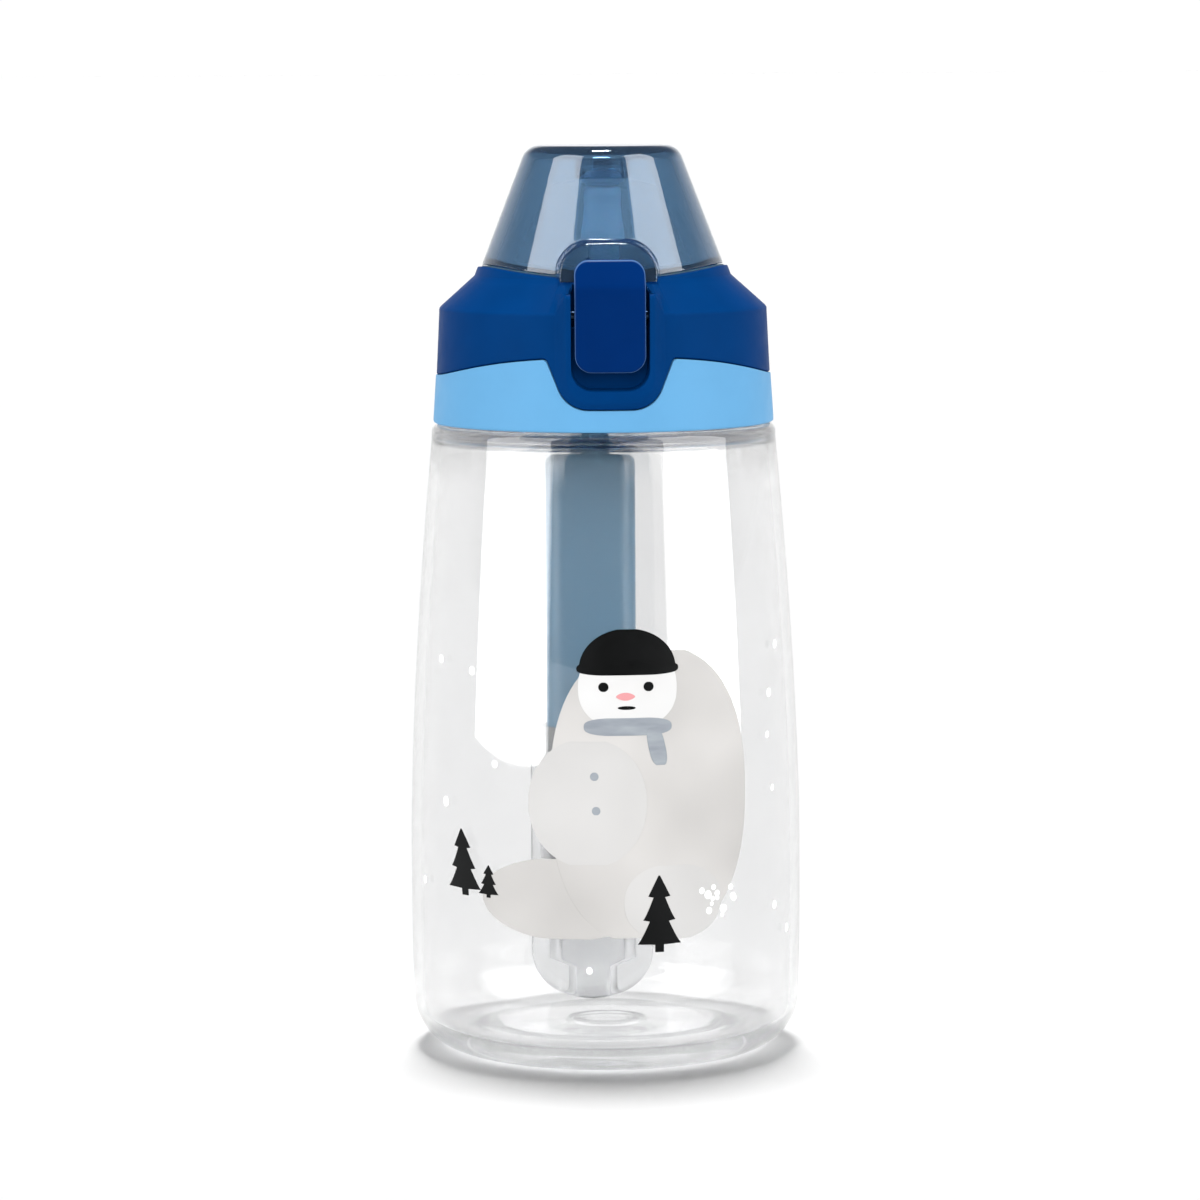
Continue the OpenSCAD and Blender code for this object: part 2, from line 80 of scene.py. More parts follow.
BAND_LOW = node_box("collar_band")[0][2]
BAND_R = node_box("collar_band")[1][0]
BAND_IN = 30.7
BAND_GAP = 0.1
COVER_R = 31.9
COVER_IN = 29.9
COVER_GAP = 0.08
COVER_STEP = 0.12  # the cover stays this far inside the band's outline
SKIRT_TOP = 139.0
SKIRT_LOW = 121.0
SEAM_SIDE = 129.4
SEAM_RISE = 4.8
EDGE_Z = 141.3
EDGE_R = 31.2
LIP_R = 24.4
LIP_Z = 148.3
ARCHED_TOP = 150.2
ARCHED_Y = -6.0
ARCHED_ROUND = 80.0
RECESS_R = 20.5
RECESS_Z = 146.0
DECK_LOW = 143.6

HOUSE_HALF = 9.65
HOUSE_LOW = 124.6
HOUSE_ROUND = 6.5
HOUSE_R = 33.1
POCKET_HALF = 7.05
POCKET_LOW = 128.4
POCKET_ROUND = 3.8
POCKET_Y = 28.5
POCKET_DEEP_Y = 26.4
POCKET_STEP = 139.8
OPEN_TOP = 190.0  # above everything, for a shape that is open upwards
OPEN_LOW = 130.0  # below the dome, for a shape that is open downwards

DOME_R = 23.5
DOME_BASE = 149.0
DOME_LEAN = 0.385
DOME_TOP = node_box("flip_cap")[1][2]
DOME_WALL = 2.3
RIM_GAP = 0.3
ARCH_HALF = 9.65
ARCH_TOP = 155.7
ARCH_ROUND = 6.5
ARCH_FACE_Y = -27.4
ARCH_FACE_Z = 145.0
ARCH_FACE_LEAN = 0.3982
NEST_TOP = 152.8
NEST_ROUND = 2.8
HINGE_Y = 28.3
HINGE_Z = 147.4
BARREL_R = 2.65
EAR_LOW = 141.4

# -------- looks
PLASTIC_IOR = 1.5
EDGE_SHADE = 0.12  # light left by a clear surface seen edge on, next to one seen face on


# -------- mesh tools
def new_object(name, verts, faces, body):
    """A mesh piece from points in mm, riding on a CAD body."""
    mesh = bpy.data.meshes.new(name)
    mesh.from_pydata([tuple(v) for v in (np.asarray(verts, float) * MM)], [], faces)
    bm = bmesh.new()
    bm.from_mesh(mesh)
    bmesh.ops.remove_doubles(bm, verts=bm.verts, dist=2e-7)
    bmesh.ops.dissolve_degenerate(bm, dist=1e-8, edges=bm.edges)
    bmesh.ops.recalc_face_normals(bm, faces=bm.faces)
    bm.to_mesh(mesh)
    bm.free()
    mesh.shade_smooth()
    obj = bpy.data.objects.new(name, mesh)
    bpy.context.scene.collection.objects.link(obj)
    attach(obj, body)
    return obj


def grid_faces(rows, cols, start=0, wrap_rows=False, wrap_cols=False):
    """Quads over a rows x cols grid of points."""
    faces = []
    for i in range(rows if wrap_rows else rows - 1):
        i2 = (i + 1) % rows
        for j in range(cols if wrap_cols else cols - 1):
            j2 = (j + 1) % cols
            faces.append((start + i * cols + j, start + i2 * cols + j,
                          start + i2 * cols + j2, start + i * cols + j2))
    return faces


def rounded(points, steps=6):
    """A polyline of (r, z, fillet radius) with its corners rounded."""
    pts = [np.array(p[:2], float) for p in points]
    out = [pts[0]]
    for i in range(1, len(pts) - 1):
        radius = points[i][2] if len(points[i]) > 2 else 0
        a, b, c = pts[i - 1], pts[i], pts[i + 1]
        if radius <= 0:
            out.append(b)
            continue
        u, v = a - b, c - b
        lu, lv = np.linalg.norm(u), np.linalg.norm(v)
        u, v = u / lu, v / lv
        half = math.acos(max(-1, min(1, float(u @ v)))) / 2
        reach = min(radius / math.tan(half), 0.49 * lu, 0.49 * lv)
        radius = reach * math.tan(half)
        centre = b + (u + v) / np.linalg.norm(u + v) * (radius / math.sin(half))
        p0, p1 = b + u * reach - centre, b + v * reach - centre
        a0, a1 = math.atan2(p0[1], p0[0]), math.atan2(p1[1], p1[0])
        turn = (a1 - a0 + math.pi) % (2 * math.pi) - math.pi
        for k in range(steps + 1):
            t = a0 + turn * k / steps
            out.append(centre + radius * np.array([math.cos(t), math.sin(t)]))
    out.append(pts[-1])
    return np.array(out)


def slab(name, outer, inner, body):
    """A thin plate between two grids of points, closed round its edges."""
    rows, cols = len(outer), len(outer[0])
    n = rows * cols
    verts = np.vstack([np.array(outer).reshape(-1, 3), np.array(inner).reshape(-1, 3)])
    faces = grid_faces(rows, cols) + grid_faces(rows, cols, n)
    edges = [(i * cols + j, (i + 1) * cols + j) for i in range(rows - 1) for j in (0, cols - 1)]
    edges += [(i * cols + j, i * cols + j + 1) for j in range(cols - 1) for i in (0, rows - 1)]
    faces += [(a, b, n + b, n + a) for a, b in edges]
    return new_object(name, verts, faces, body)


def around(profile, turn):
    """Points of a profile of (r, z) at one turn about Z."""
    profile = np.asarray(profile, float)
    r = profile[:, 0]
    return np.stack([r * math.sin(turn), -r * math.cos(turn), profile[:, 1]], 1)


def ring_skin(name, columns, body, wrap_cols=True):
    """A skin through columns of points that go once round; a column is a loop, or ends on the axis."""
    pts = np.array(columns)
    faces = grid_faces(len(pts), pts.shape[1], wrap_rows=True, wrap_cols=wrap_cols)
    return new_object(name, pts.reshape(-1, 3), faces, body)


def lathe(name, profile, body, segments):
    """A turned piece from a closed profile."""
    turns = np.linspace(0, 2 * math.pi, segments, endpoint=False)
    return ring_skin(name, [around(profile, t) for t in turns], body)


def prism(name, outline, x0, x1, body, bevel=0.25):
    """A side outline of (y, z) pushed along X, with its hard edges rounded."""
    n = len(outline)
    verts = [(x0, y, z) for y, z in outline] + [(x1, y, z) for y, z in outline]
    faces = [tuple(range(n)), tuple(range(2 * n - 1, n - 1, -1))]
    faces += [(i, (i + 1) % n, n + (i + 1) % n, n + i) for i in range(n)]
    obj = new_object(name, verts, faces, body)
    mod = obj.modifiers.new("bevel", "BEVEL")
    mod.width = bevel * MM
    mod.segments = 3
    mod.limit_method = "ANGLE"
    mod.angle_limit = math.radians(30)
    mod.harden_normals = True
    return obj


def prism_pair(name, outline, x, width, body, mat, bevel=0.25):
    """The same prism on the left and on the right, each starting x from the middle."""
    for side, x0 in (("left", -x - width), ("right", x)):
        paint(prism(f"{name}_{side}", outline, x0, x0 + width, body, bevel), mat)


def wire_skin(name, path, radius, body):
    """A round wire along a path of points."""
    sides = 12
    path = np.asarray(path, float)
    tangents = np.gradient(path, axis=0)
    tangents /= np.linalg.norm(tangents, axis=1)[:, None]
    normal = np.cross(tangents[0], [0.3, 0.2, 1.0])
    verts = []
    for p, t in zip(path, tangents):
        normal = normal - t * (normal @ t)
        normal /= np.linalg.norm(normal)
        side = np.cross(t, normal)
        for a in (2 * math.pi * k / sides for k in range(sides)):
            verts.append(p + radius * (math.cos(a) * normal + math.sin(a) * side))
    n = len(verts)
    faces = grid_faces(len(path), sides, wrap_cols=True)
    faces += [tuple(range(sides)), tuple(range(n - 1, n - sides - 1, -1))]
    return new_object(name, verts, faces, body)


def arc(y, z, radius, low, high, count):
    """Points of (y, z) on a circle, from angle low to angle high."""
    return [(y + radius * math.cos(a), z + radius * math.sin(a)) for a in np.linspace(low, high, count)]


def eased(count):
    """Numbers from 0 to 1, closer together towards both ends."""
    return (1 - np.cos(np.linspace(0, math.pi, count))) / 2


def smoothstep(a, b, x):
    t = np.clip((x - a) / (b - a), 0, 1)
    return t * t * (3 - 2 * t)


def soft_min(a, b, k):
    """The smaller of two values, changing over softly within k."""
    h = np.clip(0.5 + 0.5 * (b - a) / k, 0, 1)
    return b * (1 - h) + a * h - k * h * (1 - h)


def inside_box(x, z, half_w, low, high, r_low, r_high):
    """How far inside a rectangle with rounded corners a point lies; negative outside."""
    r = np.where(z < (low + high) / 2, r_low, r_high)
    cx, cz = np.abs(x) - (half_w - r), np.abs(z - (low + high) / 2) - ((high - low) / 2 - r)
    outside = np.hypot(np.maximum(cx, 0), np.maximum(cz, 0))
    return r - outside - np.minimum(np.maximum(cx, cz), 0)


# -------- material tools
def linear(r, g, b):
    """An sRGB colour of 0 to 255 as a linear colour."""
    def one(c):
        c /= 255
        return c / 12.92 if c <= 0.04045 else ((c + 0.055) / 1.055) ** 2.4
    return (one(r), one(g), one(b), 1.0)


def base_material(name):
    mat = bpy.data.materials.new(name)
    mat.use_nodes = True
    return mat, mat.node_tree, mat.node_tree.nodes["Principled BSDF"]


def put(node, **values):
    """Sets inputs and settings of a shader node. A value may be another node's result,
    and an underscore stands for a space in an input's name."""
    for key, value in values.items():
        name = key.replace("_", " ")
        if name not in node.inputs:
            setattr(node, key, value)
        elif isinstance(value, bpy.types.NodeSocket):
            node.id_data.links.new(value, node.inputs[name])
        else:
            node.inputs[name].default_value = value
    return node


def add(tree, kind, **values):
    return put(tree.nodes.new("ShaderNode" + kind), **values)


def coords(tree, scale=(1, 1, 1)):
    """Object coordinates, stretched. One unit is a metre."""
    source = add(tree, "TexCoord")
    return add(tree, "Mapping", Scale=scale, Vector=source.outputs["Object"]).outputs["Vector"]


def coordinate(tree, space, axis):
    """X, Y or Z of one kind of texture coordinates."""
    source = add(tree, "TexCoord")
    return add(tree, "SeparateXYZ", Vector=source.outputs[space]).outputs[axis]


def noise(tree, vector, scale, detail=3.0):
    return add(tree, "TexNoise", Scale=scale, Detail=detail, Roughness=0.55, Vector=vector).outputs["Fac"]


def ramp(tree, fac, low, high, at=(0.35, 0.65)):
    """A colour ramp between two colours."""
    node = add(tree, "ValToRGB", Fac=fac)
    for element, place, colour in zip(node.color_ramp.elements, at, (low, high)):
        element.position, element.color = place, colour
    return node.outputs["Color"]


def grey_ramp(tree, fac, low, high, at=(0.35, 0.65)):
    return ramp(tree, fac, (low, low, low, 1), (high, high, high, 1), at)


def eased_map(tree, value, low, high, to_low, to_high):
    """A node that turns one range into another, softly at both ends."""
    return add(tree, "MapRange", interpolation_type="SMOOTHSTEP", Value=value, From_Min=low, From_Max=high,
               To_Min=to_low, To_Max=to_high)


def bump(tree, shader, height, strength, distance):
    node = add(tree, "Bump", Strength=strength, Distance=distance, Height=height)
    put(shader, Normal=node.outputs["Normal"])


def maths(tree, operation, *values):
    """The result of a sum on numbers and other nodes' results."""
    node = add(tree, "Math", operation=operation)
    for value, socket in zip(values, node.inputs):
        if isinstance(value, float):
            socket.default_value = value
        else:
            tree.links.new(value, socket)
    return node.outputs[0]


def mix_shaders(tree, share, first, second):
    node = add(tree, "MixShader", Fac=share)
    tree.links.new(first.outputs[0], node.inputs[1])
    tree.links.new(second.outputs[0], node.inputs[2])
    return node


def tinted(colour, factor):
    """A colour made lighter or darker."""
    return tuple(min(1.0, c * factor) for c in colour[:3]) + (1,)


def moulded(name, colour, variation, rough, grain=0.10, streak=(1, 1, 1), shine=0.5, rim=None):
    """Injection-moulded plastic: faint flow streaks in the colour, uneven gloss and a fine skin. rim, if
    given, is a painted highlight colour along rounded edges.
    """
    mat, tree, shader = base_material(name)
    vector = coords(tree, streak)
    tint = ramp(tree, noise(tree, vector, 90), tinted(colour, 1 - variation), tinted(colour, 1 + variation))
    if rim:
        # painted highlight: the rounded edge between face and sides is painted pale, standing in for the side
        # lights it catches
        outward = maths(tree, "ABSOLUTE", coordinate(tree, "Normal", "Y"))
        edge = maths(tree, "MULTIPLY", grey_ramp(tree, outward, 0, 1, (0.25, 0.45)),
                     grey_ramp(tree, outward, 1, 0, (0.5, 0.68)))
        tint = add(tree, "MixRGB", Fac=edge, Color1=tint, Color2=rim).outputs[0]
    gloss = grey_ramp(tree, noise(tree, vector, 260), *rough)
    put(shader, Base_Color=tint, Roughness=gloss, Specular_IOR_Level=shine)
    bump(tree, shader, noise(tree, coords(tree), 2600, 2.0), grain, 0.00004)
    return mat


def see_through(name, colour, shade, rough=(0.0, 0.03), wave=0.05, body=None, density=0.0, haze=0.0,
                haze_colour=None, thin=0.0):
    """Clear moulded plastic. Lamps shine through it, dimmed by shade at each surface,
    and the body colour deepens with the way through the plastic (density is per metre).
    haze is the share of light that a cloudy plastic scatters, and thin is the share that
    goes straight through the heel and the shoulder of the wall."""
    mat, tree, shader = base_material(name)
    vector = coords(tree)
    tint = ramp(tree, noise(tree, vector, 40), colour, tinted(colour, 1.02))
    gloss = grey_ramp(tree, noise(tree, vector, 120), *rough)
    put(shader, Base_Color=tint, Roughness=gloss, IOR=PLASTIC_IOR, Transmission_Weight=1.0)
    bump(tree, shader, noise(tree, vector, 55, 1.0), wave, 0.0002)
    face = shader
    if haze:
        milk = add(tree, "BsdfDiffuse", Color=haze_colour + (1,))
        cloudy = grey_ramp(tree, noise(tree, vector, 90), haze * 0.9, haze * 1.1)
        face = mix_shaders(tree, cloudy, face, milk)
    if thin:
        from_middle = maths(tree, "SUBTRACT", coordinate(tree, "Object", "Z"), WALL_MIDDLE * MM)
        away = maths(tree, "ABSOLUTE", from_middle)
        near_end = eased_map(tree, away, WALL_PLAIN * MM, WALL_END * MM, 0.0, thin)
        straight = add(tree, "BsdfTransparent", Color=(0.97, 0.97, 0.97, 1))
        face = mix_shaders(tree, near_end.outputs["Result"], face, straight)
    # what lamps shine through, darker where the surface is seen edge on
    facing = add(tree, "LayerWeight", Blend=0.5).outputs["Facing"]
    dimmed = ramp(tree, facing, shade + (1,), tinted(shade, EDGE_SHADE), (0.3, 0.9))
    clear = add(tree, "BsdfTransparent", Color=dimmed)
    shadow = add(tree, "LightPath").outputs["Is Shadow Ray"]
    out = put(tree.nodes["Material Output"], Surface=mix_shaders(tree, shadow, face, clear).outputs[0])
    if body:
        put(out, Volume=add(tree, "VolumeAbsorption", Color=body + (1,), Density=density).outputs[0])
    return mat


def silicone(name, colour):
    """Milky silicone rubber: soft sheen, light scattered under the skin, a dusty unevenness."""
    mat, tree, shader = base_material(name)
    vector = coords(tree)
    tint = ramp(tree, noise(tree, vector, 160), tinted(colour, 0.93), colour)
    gloss = grey_ramp(tree, noise(tree, vector, 500), 0.42, 0.55)
    put(shader, Base_Color=tint, Roughness=gloss, Subsurface_Weight=0.25, Subsurface_Scale=0.002)
    bump(tree, shader, noise(tree, vector, 3200, 2.0), 0.12, 0.00003)
    return mat


def steel(name, dark=(0.42, 0.43, 0.45, 1), bright=(0.62, 0.63, 0.65, 1)):
    """Drawn wire and turned pins: fine lines along X, small changes of gloss."""
    mat, tree, shader = base_material(name)
    vector = coords(tree, (0.15, 1, 1))
    tint = ramp(tree, noise(tree, vector, 900), dark, bright)
    gloss = grey_ramp(tree, noise(tree, vector, 1500), 0.2, 0.36)
    put(shader, Base_Color=tint, Roughness=gloss, Metallic=1.0)
    bump(tree, shader, noise(tree, vector, 5000, 2.0), 0.15, 0.00002)
    return mat


def ink(name, low, high, scale, streak=(1, 1, 1), alpha=1.0):
    """Screen-printed ink between two sRGB colours: soft shading, uneven gloss and a fine grain."""
    mat, tree, shader = base_material(name)
    tint = ramp(tree, noise(tree, coords(tree, streak), scale, 2.0), linear(*low), linear(*high), (0.3, 0.7))
    gloss = grey_ramp(tree, noise(tree, coords(tree), 700), 0.32, 0.45)
    put(shader, Base_Color=tint, Roughness=gloss, Alpha=alpha, Specular_IOR_Level=0.12)
    bump(tree, shader, noise(tree, coords(tree), 4200, 2.0), 0.10, 0.00002)
    return mat


CLEAR = see_through("clear_body_plastic", (0.905, 0.905, 0.907, 1), (0.82, 0.82, 0.82), wave=0.004,
                    body=(0.4, 0.45, 0.47), density=8.0, thin=0.3)
TINT = see_through("blue_tinted_plastic", (0.9, 0.94, 0.97, 1), (0.75, 0.84, 0.9), (0.01, 0.05), wave=0.01,
                   body=(0.25, 0.45, 0.58), density=650.0, haze=0.05, haze_colour=(0.2, 0.4, 0.68))
FOOT = see_through("frosted_foot_plastic", (0.93, 0.935, 0.94, 1), (0.85, 0.85, 0.86), (0.16, 0.26),
                   haze=0.14, haze_colour=(0.62, 0.63, 0.64))
NAVY = moulded("navy_cover_plastic", linear(1, 49, 102), 0.05, (0.36, 0.44), grain=0.08, shine=0.012)
# rim is a painted highlight: a pale colour along the button's rounded edge, standing in for light caught
# there
BUTTON = moulded("navy_button_plastic", linear(1, 36, 90), 0.04, (0.2, 0.27), grain=0.02, shine=0.015,
                 rim=linear(80, 112, 156))
BAND = moulded("pale_blue_plastic", linear(92, 152, 195), 0.02, (0.42, 0.5), grain=0.08, shine=0.1)
INNER = moulded("inner_cap_plastic", linear(40, 84, 150), 0.05, (0.34, 0.44))
STRAW = moulded("straw_blue_plastic", linear(75, 104, 124), 0.02, (0.30, 0.38), streak=(1, 1, 0.08))
SILICONE = silicone("milky_silicone", linear(196, 202, 208))
SEAL = silicone("dark_seal_rubber", linear(52, 84, 100))
STEEL = steel("bright_steel")
# painted shade: near-black steel for the button pin, so that its ends read as the shaded gaps beside the
# button
PIN_SHADE_STEEL = steel("pin_steel_painted_shade", (0.01, 0.02, 0.04, 1), (0.03, 0.05, 0.09, 1))


def paint(obj, mat):
    obj.data.materials.clear()
    obj.data.materials.append(mat)


def paint_node(name, mat):
    """Gives a shown CAD node a better material."""
    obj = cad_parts[name]
    for held in obj.material_slots:
        held.material = mat
    if not obj.material_slots:
        obj.data.materials.append(mat)


# -------- clear body
def body_r(z):
    """Outside radius of the body's wall."""
    z = np.asarray(z, float)
    taper = (BODY_R - SHOULDER_R) / (SHOULDER_Z - WIDE_Z) ** TAPER_POWER
    r = BODY_R - taper * np.maximum(0, z - WIDE_Z) ** TAPER_POWER
    # below the widest part the wall leans in a little, down to the rounded foot
    low = np.clip((LEAN_Z - z) / (LEAN_Z - FOOT_ROUND), 0, 1)
    return r - (BODY_R - FOOT_R - FOOT_ROUND) * low ** 2


def body_profile():
    heel = arc(FOOT_R, FOOT_ROUND, FOOT_ROUND, -math.pi / 2, 0, 18)
    wall = [(float(body_r(z)), z) for z in np.linspace(FOOT_ROUND, SHOULDER_Z, 60)[1:]]
    outer_foot = rounded([
        (0, 1.0), (4.2, 1.0, 0.4), (4.9, 1.9, 0.4), (6.6, 1.9, 0.4), (7.2, 1.2, 0.35), (7.8, 1.7, 0.4),
        (19, 1.5, 4), (FOOT_R - 3.6, 1.2, 1.5), (FOOT_R - 2.2, 0.02, 0.8), (FOOT_R - 0.4, 0.0)], 5)
    shoulder = rounded([
        wall[-1], (SHOULDER_R - 0.1, SHOULDER_TOP, 3.0), (NECK_R + 0.9, SHOULDER_TOP, 0),
        (NECK_R + 0.9, SHOULDER_TOP + 1.6, 0.3), (NECK_R, SHOULDER_TOP + 1.6, 0.3)], 8)[1:]
    neck = [(NECK_R, z) for z in np.arange(SHOULDER_TOP + 2.2, NECK_TOP - 0.6, 0.2)]
    rim = rounded([(NECK_R, NECK_TOP - 0.6), (NECK_R, NECK_TOP, 0.5), (NECK_BORE, NECK_TOP, 0.5),
                   (NECK_BORE, NECK_TOP - 2)], 5)
    under = SHOULDER_TOP - BODY_WALL
    inner_top = rounded([(NECK_BORE, NECK_TOP - 3), (NECK_BORE, under, 1.4),
                         (SHOULDER_R - BODY_WALL - 0.1, under, 2.0),
                         (float(body_r(112)) - BODY_WALL, 112)], 7)
    inner_wall = [(float(body_r(z)) - BODY_WALL, z) for z in np.linspace(110, 14, 52)]
    inner_foot = rounded([
        inner_wall[-1], (FOOT_R + 8.1, FLOOR_Z + 0.3, 8.5), (FOOT_R - 4.5, FLOOR_Z + 0.1, 2.5),
        (FOOT_R - 6.2, FLOOR_Z + 1.0, 1.6), (7.5, FLOOR_Z + 1.2, 1), (6.6, FLOOR_Z + 0.8, 0.6),
        (5.4, FLOOR_Z + 1.35, 0.6), (0, FLOOR_Z + 1.2)], 8)
    return np.vstack([outer_foot, heel, wall, shoulder, neck, rim, inner_top[1:], inner_wall, inner_foot[1:]])


def thread_bump(turn, z):
    """How far the thread's starts stand out of the neck."""
    starts, first_turn = 3, 90
    middle_z, rise, rise_turn = 126.0, 0.8, 19  # climbs by rise in rise_turn degrees
    crest_half, flank = 0.3, 0.55
    out = np.zeros_like(z)
    for start in range(starts):
        along = (math.degrees(turn) - first_turn - 360 / starts * start) % 360
        along = along - 360 if along > 180 else along
        centre = middle_z + rise * along / rise_turn
        ends = smoothstep(-12, -4, along) * (1 - smoothstep(80, 90, along))
        shape = smoothstep(0, 1, 1 - (np.abs(z - centre) - crest_half) / flank)
        out = np.maximum(out, THREAD_DEPTH * ends * shape)
    return out


def make_body():
    profile = body_profile()
    on_neck = np.abs(profile[:, 0] - NECK_R) < 1e-6
    columns = []
    for turn in np.linspace(0, 2 * math.pi, 240, endpoint=False):
        r = profile[:, 0] + np.where(on_neck, thread_bump(turn, profile[:, 1]), 0)
        columns.append(around(np.stack([r, profile[:, 1]], 1), turn))
    body = ring_skin("clear_body", columns, "bottle", wrap_cols=False)
    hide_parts("bottle_body")
    paint(body, CLEAR)


# -------- lid: band and cover
def seam_curve():
    """The seam between band and cover in front: level tongue, leaning sides, long curve."""
    wide = [(x, SEAM_SIDE + SEAM_RISE * (1 - (x / BAND_R) ** 3)) for x in np.linspace(13.5, BAND_R, 24)]
    line = rounded([(0, HOUSE_LOW), (8.1, HOUSE_LOW, 6.0), (12.0, 134.0, 1.9)] + wide, 12)
    return line[:, 0], line[:, 1]


SEAM_X, SEAM_Z = seam_curve()


def front_columns(radius, edges, reach=14.0, coarse=0.3, fine=0.06, rest=2.5):
    """Turns for a piece whose front needs fine columns near the sideways places in edges.
    reach, coarse and fine are in mm across the front, and rest is in degrees round the back."""
    near = 0.6
    xs = set(np.round(np.arange(-reach, reach + 1e-6, coarse), 4))
    for e in edges:
        for s in (-1, 1):
            xs |= set(np.round(np.arange(s * e - near, s * e + near, fine), 4))
    front = np.arcsin(np.array(sorted(xs)) / radius)
    first, last = math.degrees(front[0]), math.degrees(front[-1])
    return np.concatenate([front, np.radians(np.arange(last + rest, 360 + first - rest / 2, rest))])


def seam_at(turn):
    """Seam height at a turn: the front curve, and level round the back."""
    if math.cos(turn) <= 0:
        return SEAM_SIDE
    return float(np.interp(abs(COVER_R * math.sin(turn)), SEAM_X, SEAM_Z))


def band_r(z):
    """Radius of the band, which leans out to meet the cover."""
    return BAND_R + (COVER_R + 0.02 - BAND_R) * np.clip((z - BAND_LOW) / (SEAM_SIDE - BAND_LOW), 0, 1)


def make_band():
    turns = front_columns(COVER_R, (8.4, 9.4, 10.4, 11.4, 12.4))
    columns = []
    for turn in turns:
        top = seam_at(turn) - BAND_GAP
        r_top = float(band_r(top))
        z = np.linspace(BAND_LOW + 0.9, top - 0.35, 22)
        outer = np.stack([band_r(z), z], 1)
        low = rounded([(BAND_IN, BAND_LOW + 1.2), (BAND_IN, BAND_LOW, 0.15), (BAND_R - 0.02, BAND_LOW, 0.55),
                       tuple(outer[0])], 4)
        high = rounded([tuple(outer[-1]), (r_top, top, 0.22), (BAND_IN, top, 0.1),
                        (BAND_IN, top - 0.5)], 3)[1:]
        columns.append(around(np.vstack([low, outer[1:], high]), turn))
    band = ring_skin("pale_band", columns, "lid")
    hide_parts("collar_band")
    paint(band, BAND)


def arched(y):
    """Height of the cover's arched top; y grows towards the back."""
    return ARCHED_TOP - ARCHED_ROUND + np.sqrt(ARCHED_ROUND ** 2 - (np.asarray(y, float) - ARCHED_Y) ** 2)


def cover_side_r(z):
    """Radius of the cover's side: flush with the band below, leaning in above."""
    z = np.asarray(z, float)
    foot_r = COVER_R - COVER_STEP
    lean = (foot_r - EDGE_R) / (EDGE_Z - SEAM_SIDE)
    return np.where(z < SEAM_SIDE, band_r(z) - COVER_STEP, foot_r - lean * (z - SEAM_SIDE))


def cover_column(turn, seam):
    """Rows for one column of the cover's outside: plain side, housing and recess, as (out, z).
    The three lists have the same length, so that they can be blended row by row."""
    z_side = np.concatenate([np.linspace(seam + 0.3, 136.5, 84), np.linspace(136.5, EDGE_Z, 21)[1:]])
    plain = np.stack([cover_side_r(z_side), z_side], 1)
    house = np.stack([np.full_like(z_side, HOUSE_R), z_side], 1)
    recess = np.stack([np.where(z_side < POCKET_STEP, POCKET_Y, POCKET_DEEP_Y), z_side], 1)
    chamfer = rounded([(EDGE_R, EDGE_Z), (EDGE_R, 142.2, 1.8), (27.5, 145.52), (25.4, 147.4),
                       (LIP_R, LIP_Z)], 9)[1:]
    count = len(chamfer)

    def reach(r):
        return float(arched(-r * max(math.cos(turn), 0)))

    crest = rounded([(HOUSE_R, EDGE_Z), (HOUSE_R, reach(HOUSE_R), 1.1), (LIP_R, reach(LIP_R))], count - 2)[1:]
    # the recess goes up its back wall for a share of the rows, then in along the arched top
    up, deep = 0.6, POCKET_DEEP_Y
    ts = np.linspace(0, 1, count)
    rise = EDGE_Z + (reach(deep) - EDGE_Z) * ts / up
    back = reach(deep) + (reach(LIP_R) - reach(deep)) * (ts - up) / (1 - up)
    well = np.stack([np.where(ts < up, deep, deep + (LIP_R - deep) * (ts - up) / (1 - up)),
                     np.where(ts < up, rise, back)], 1)
    return np.vstack([plain, chamfer]), np.vstack([house, crest]), np.vstack([recess, well])


def in_house(x, z):
    """1 on the housing round the button, 0 on the plain side."""
    return smoothstep(-0.7, 1.5, inside_box(x, z, HOUSE_HALF, HOUSE_LOW, OPEN_TOP, HOUSE_ROUND, 1.0))


def house_y(x, r=HOUSE_R):
    """The housing's front at a place across it."""
    return -np.sqrt(np.maximum(r ** 2 - x ** 2, 1))


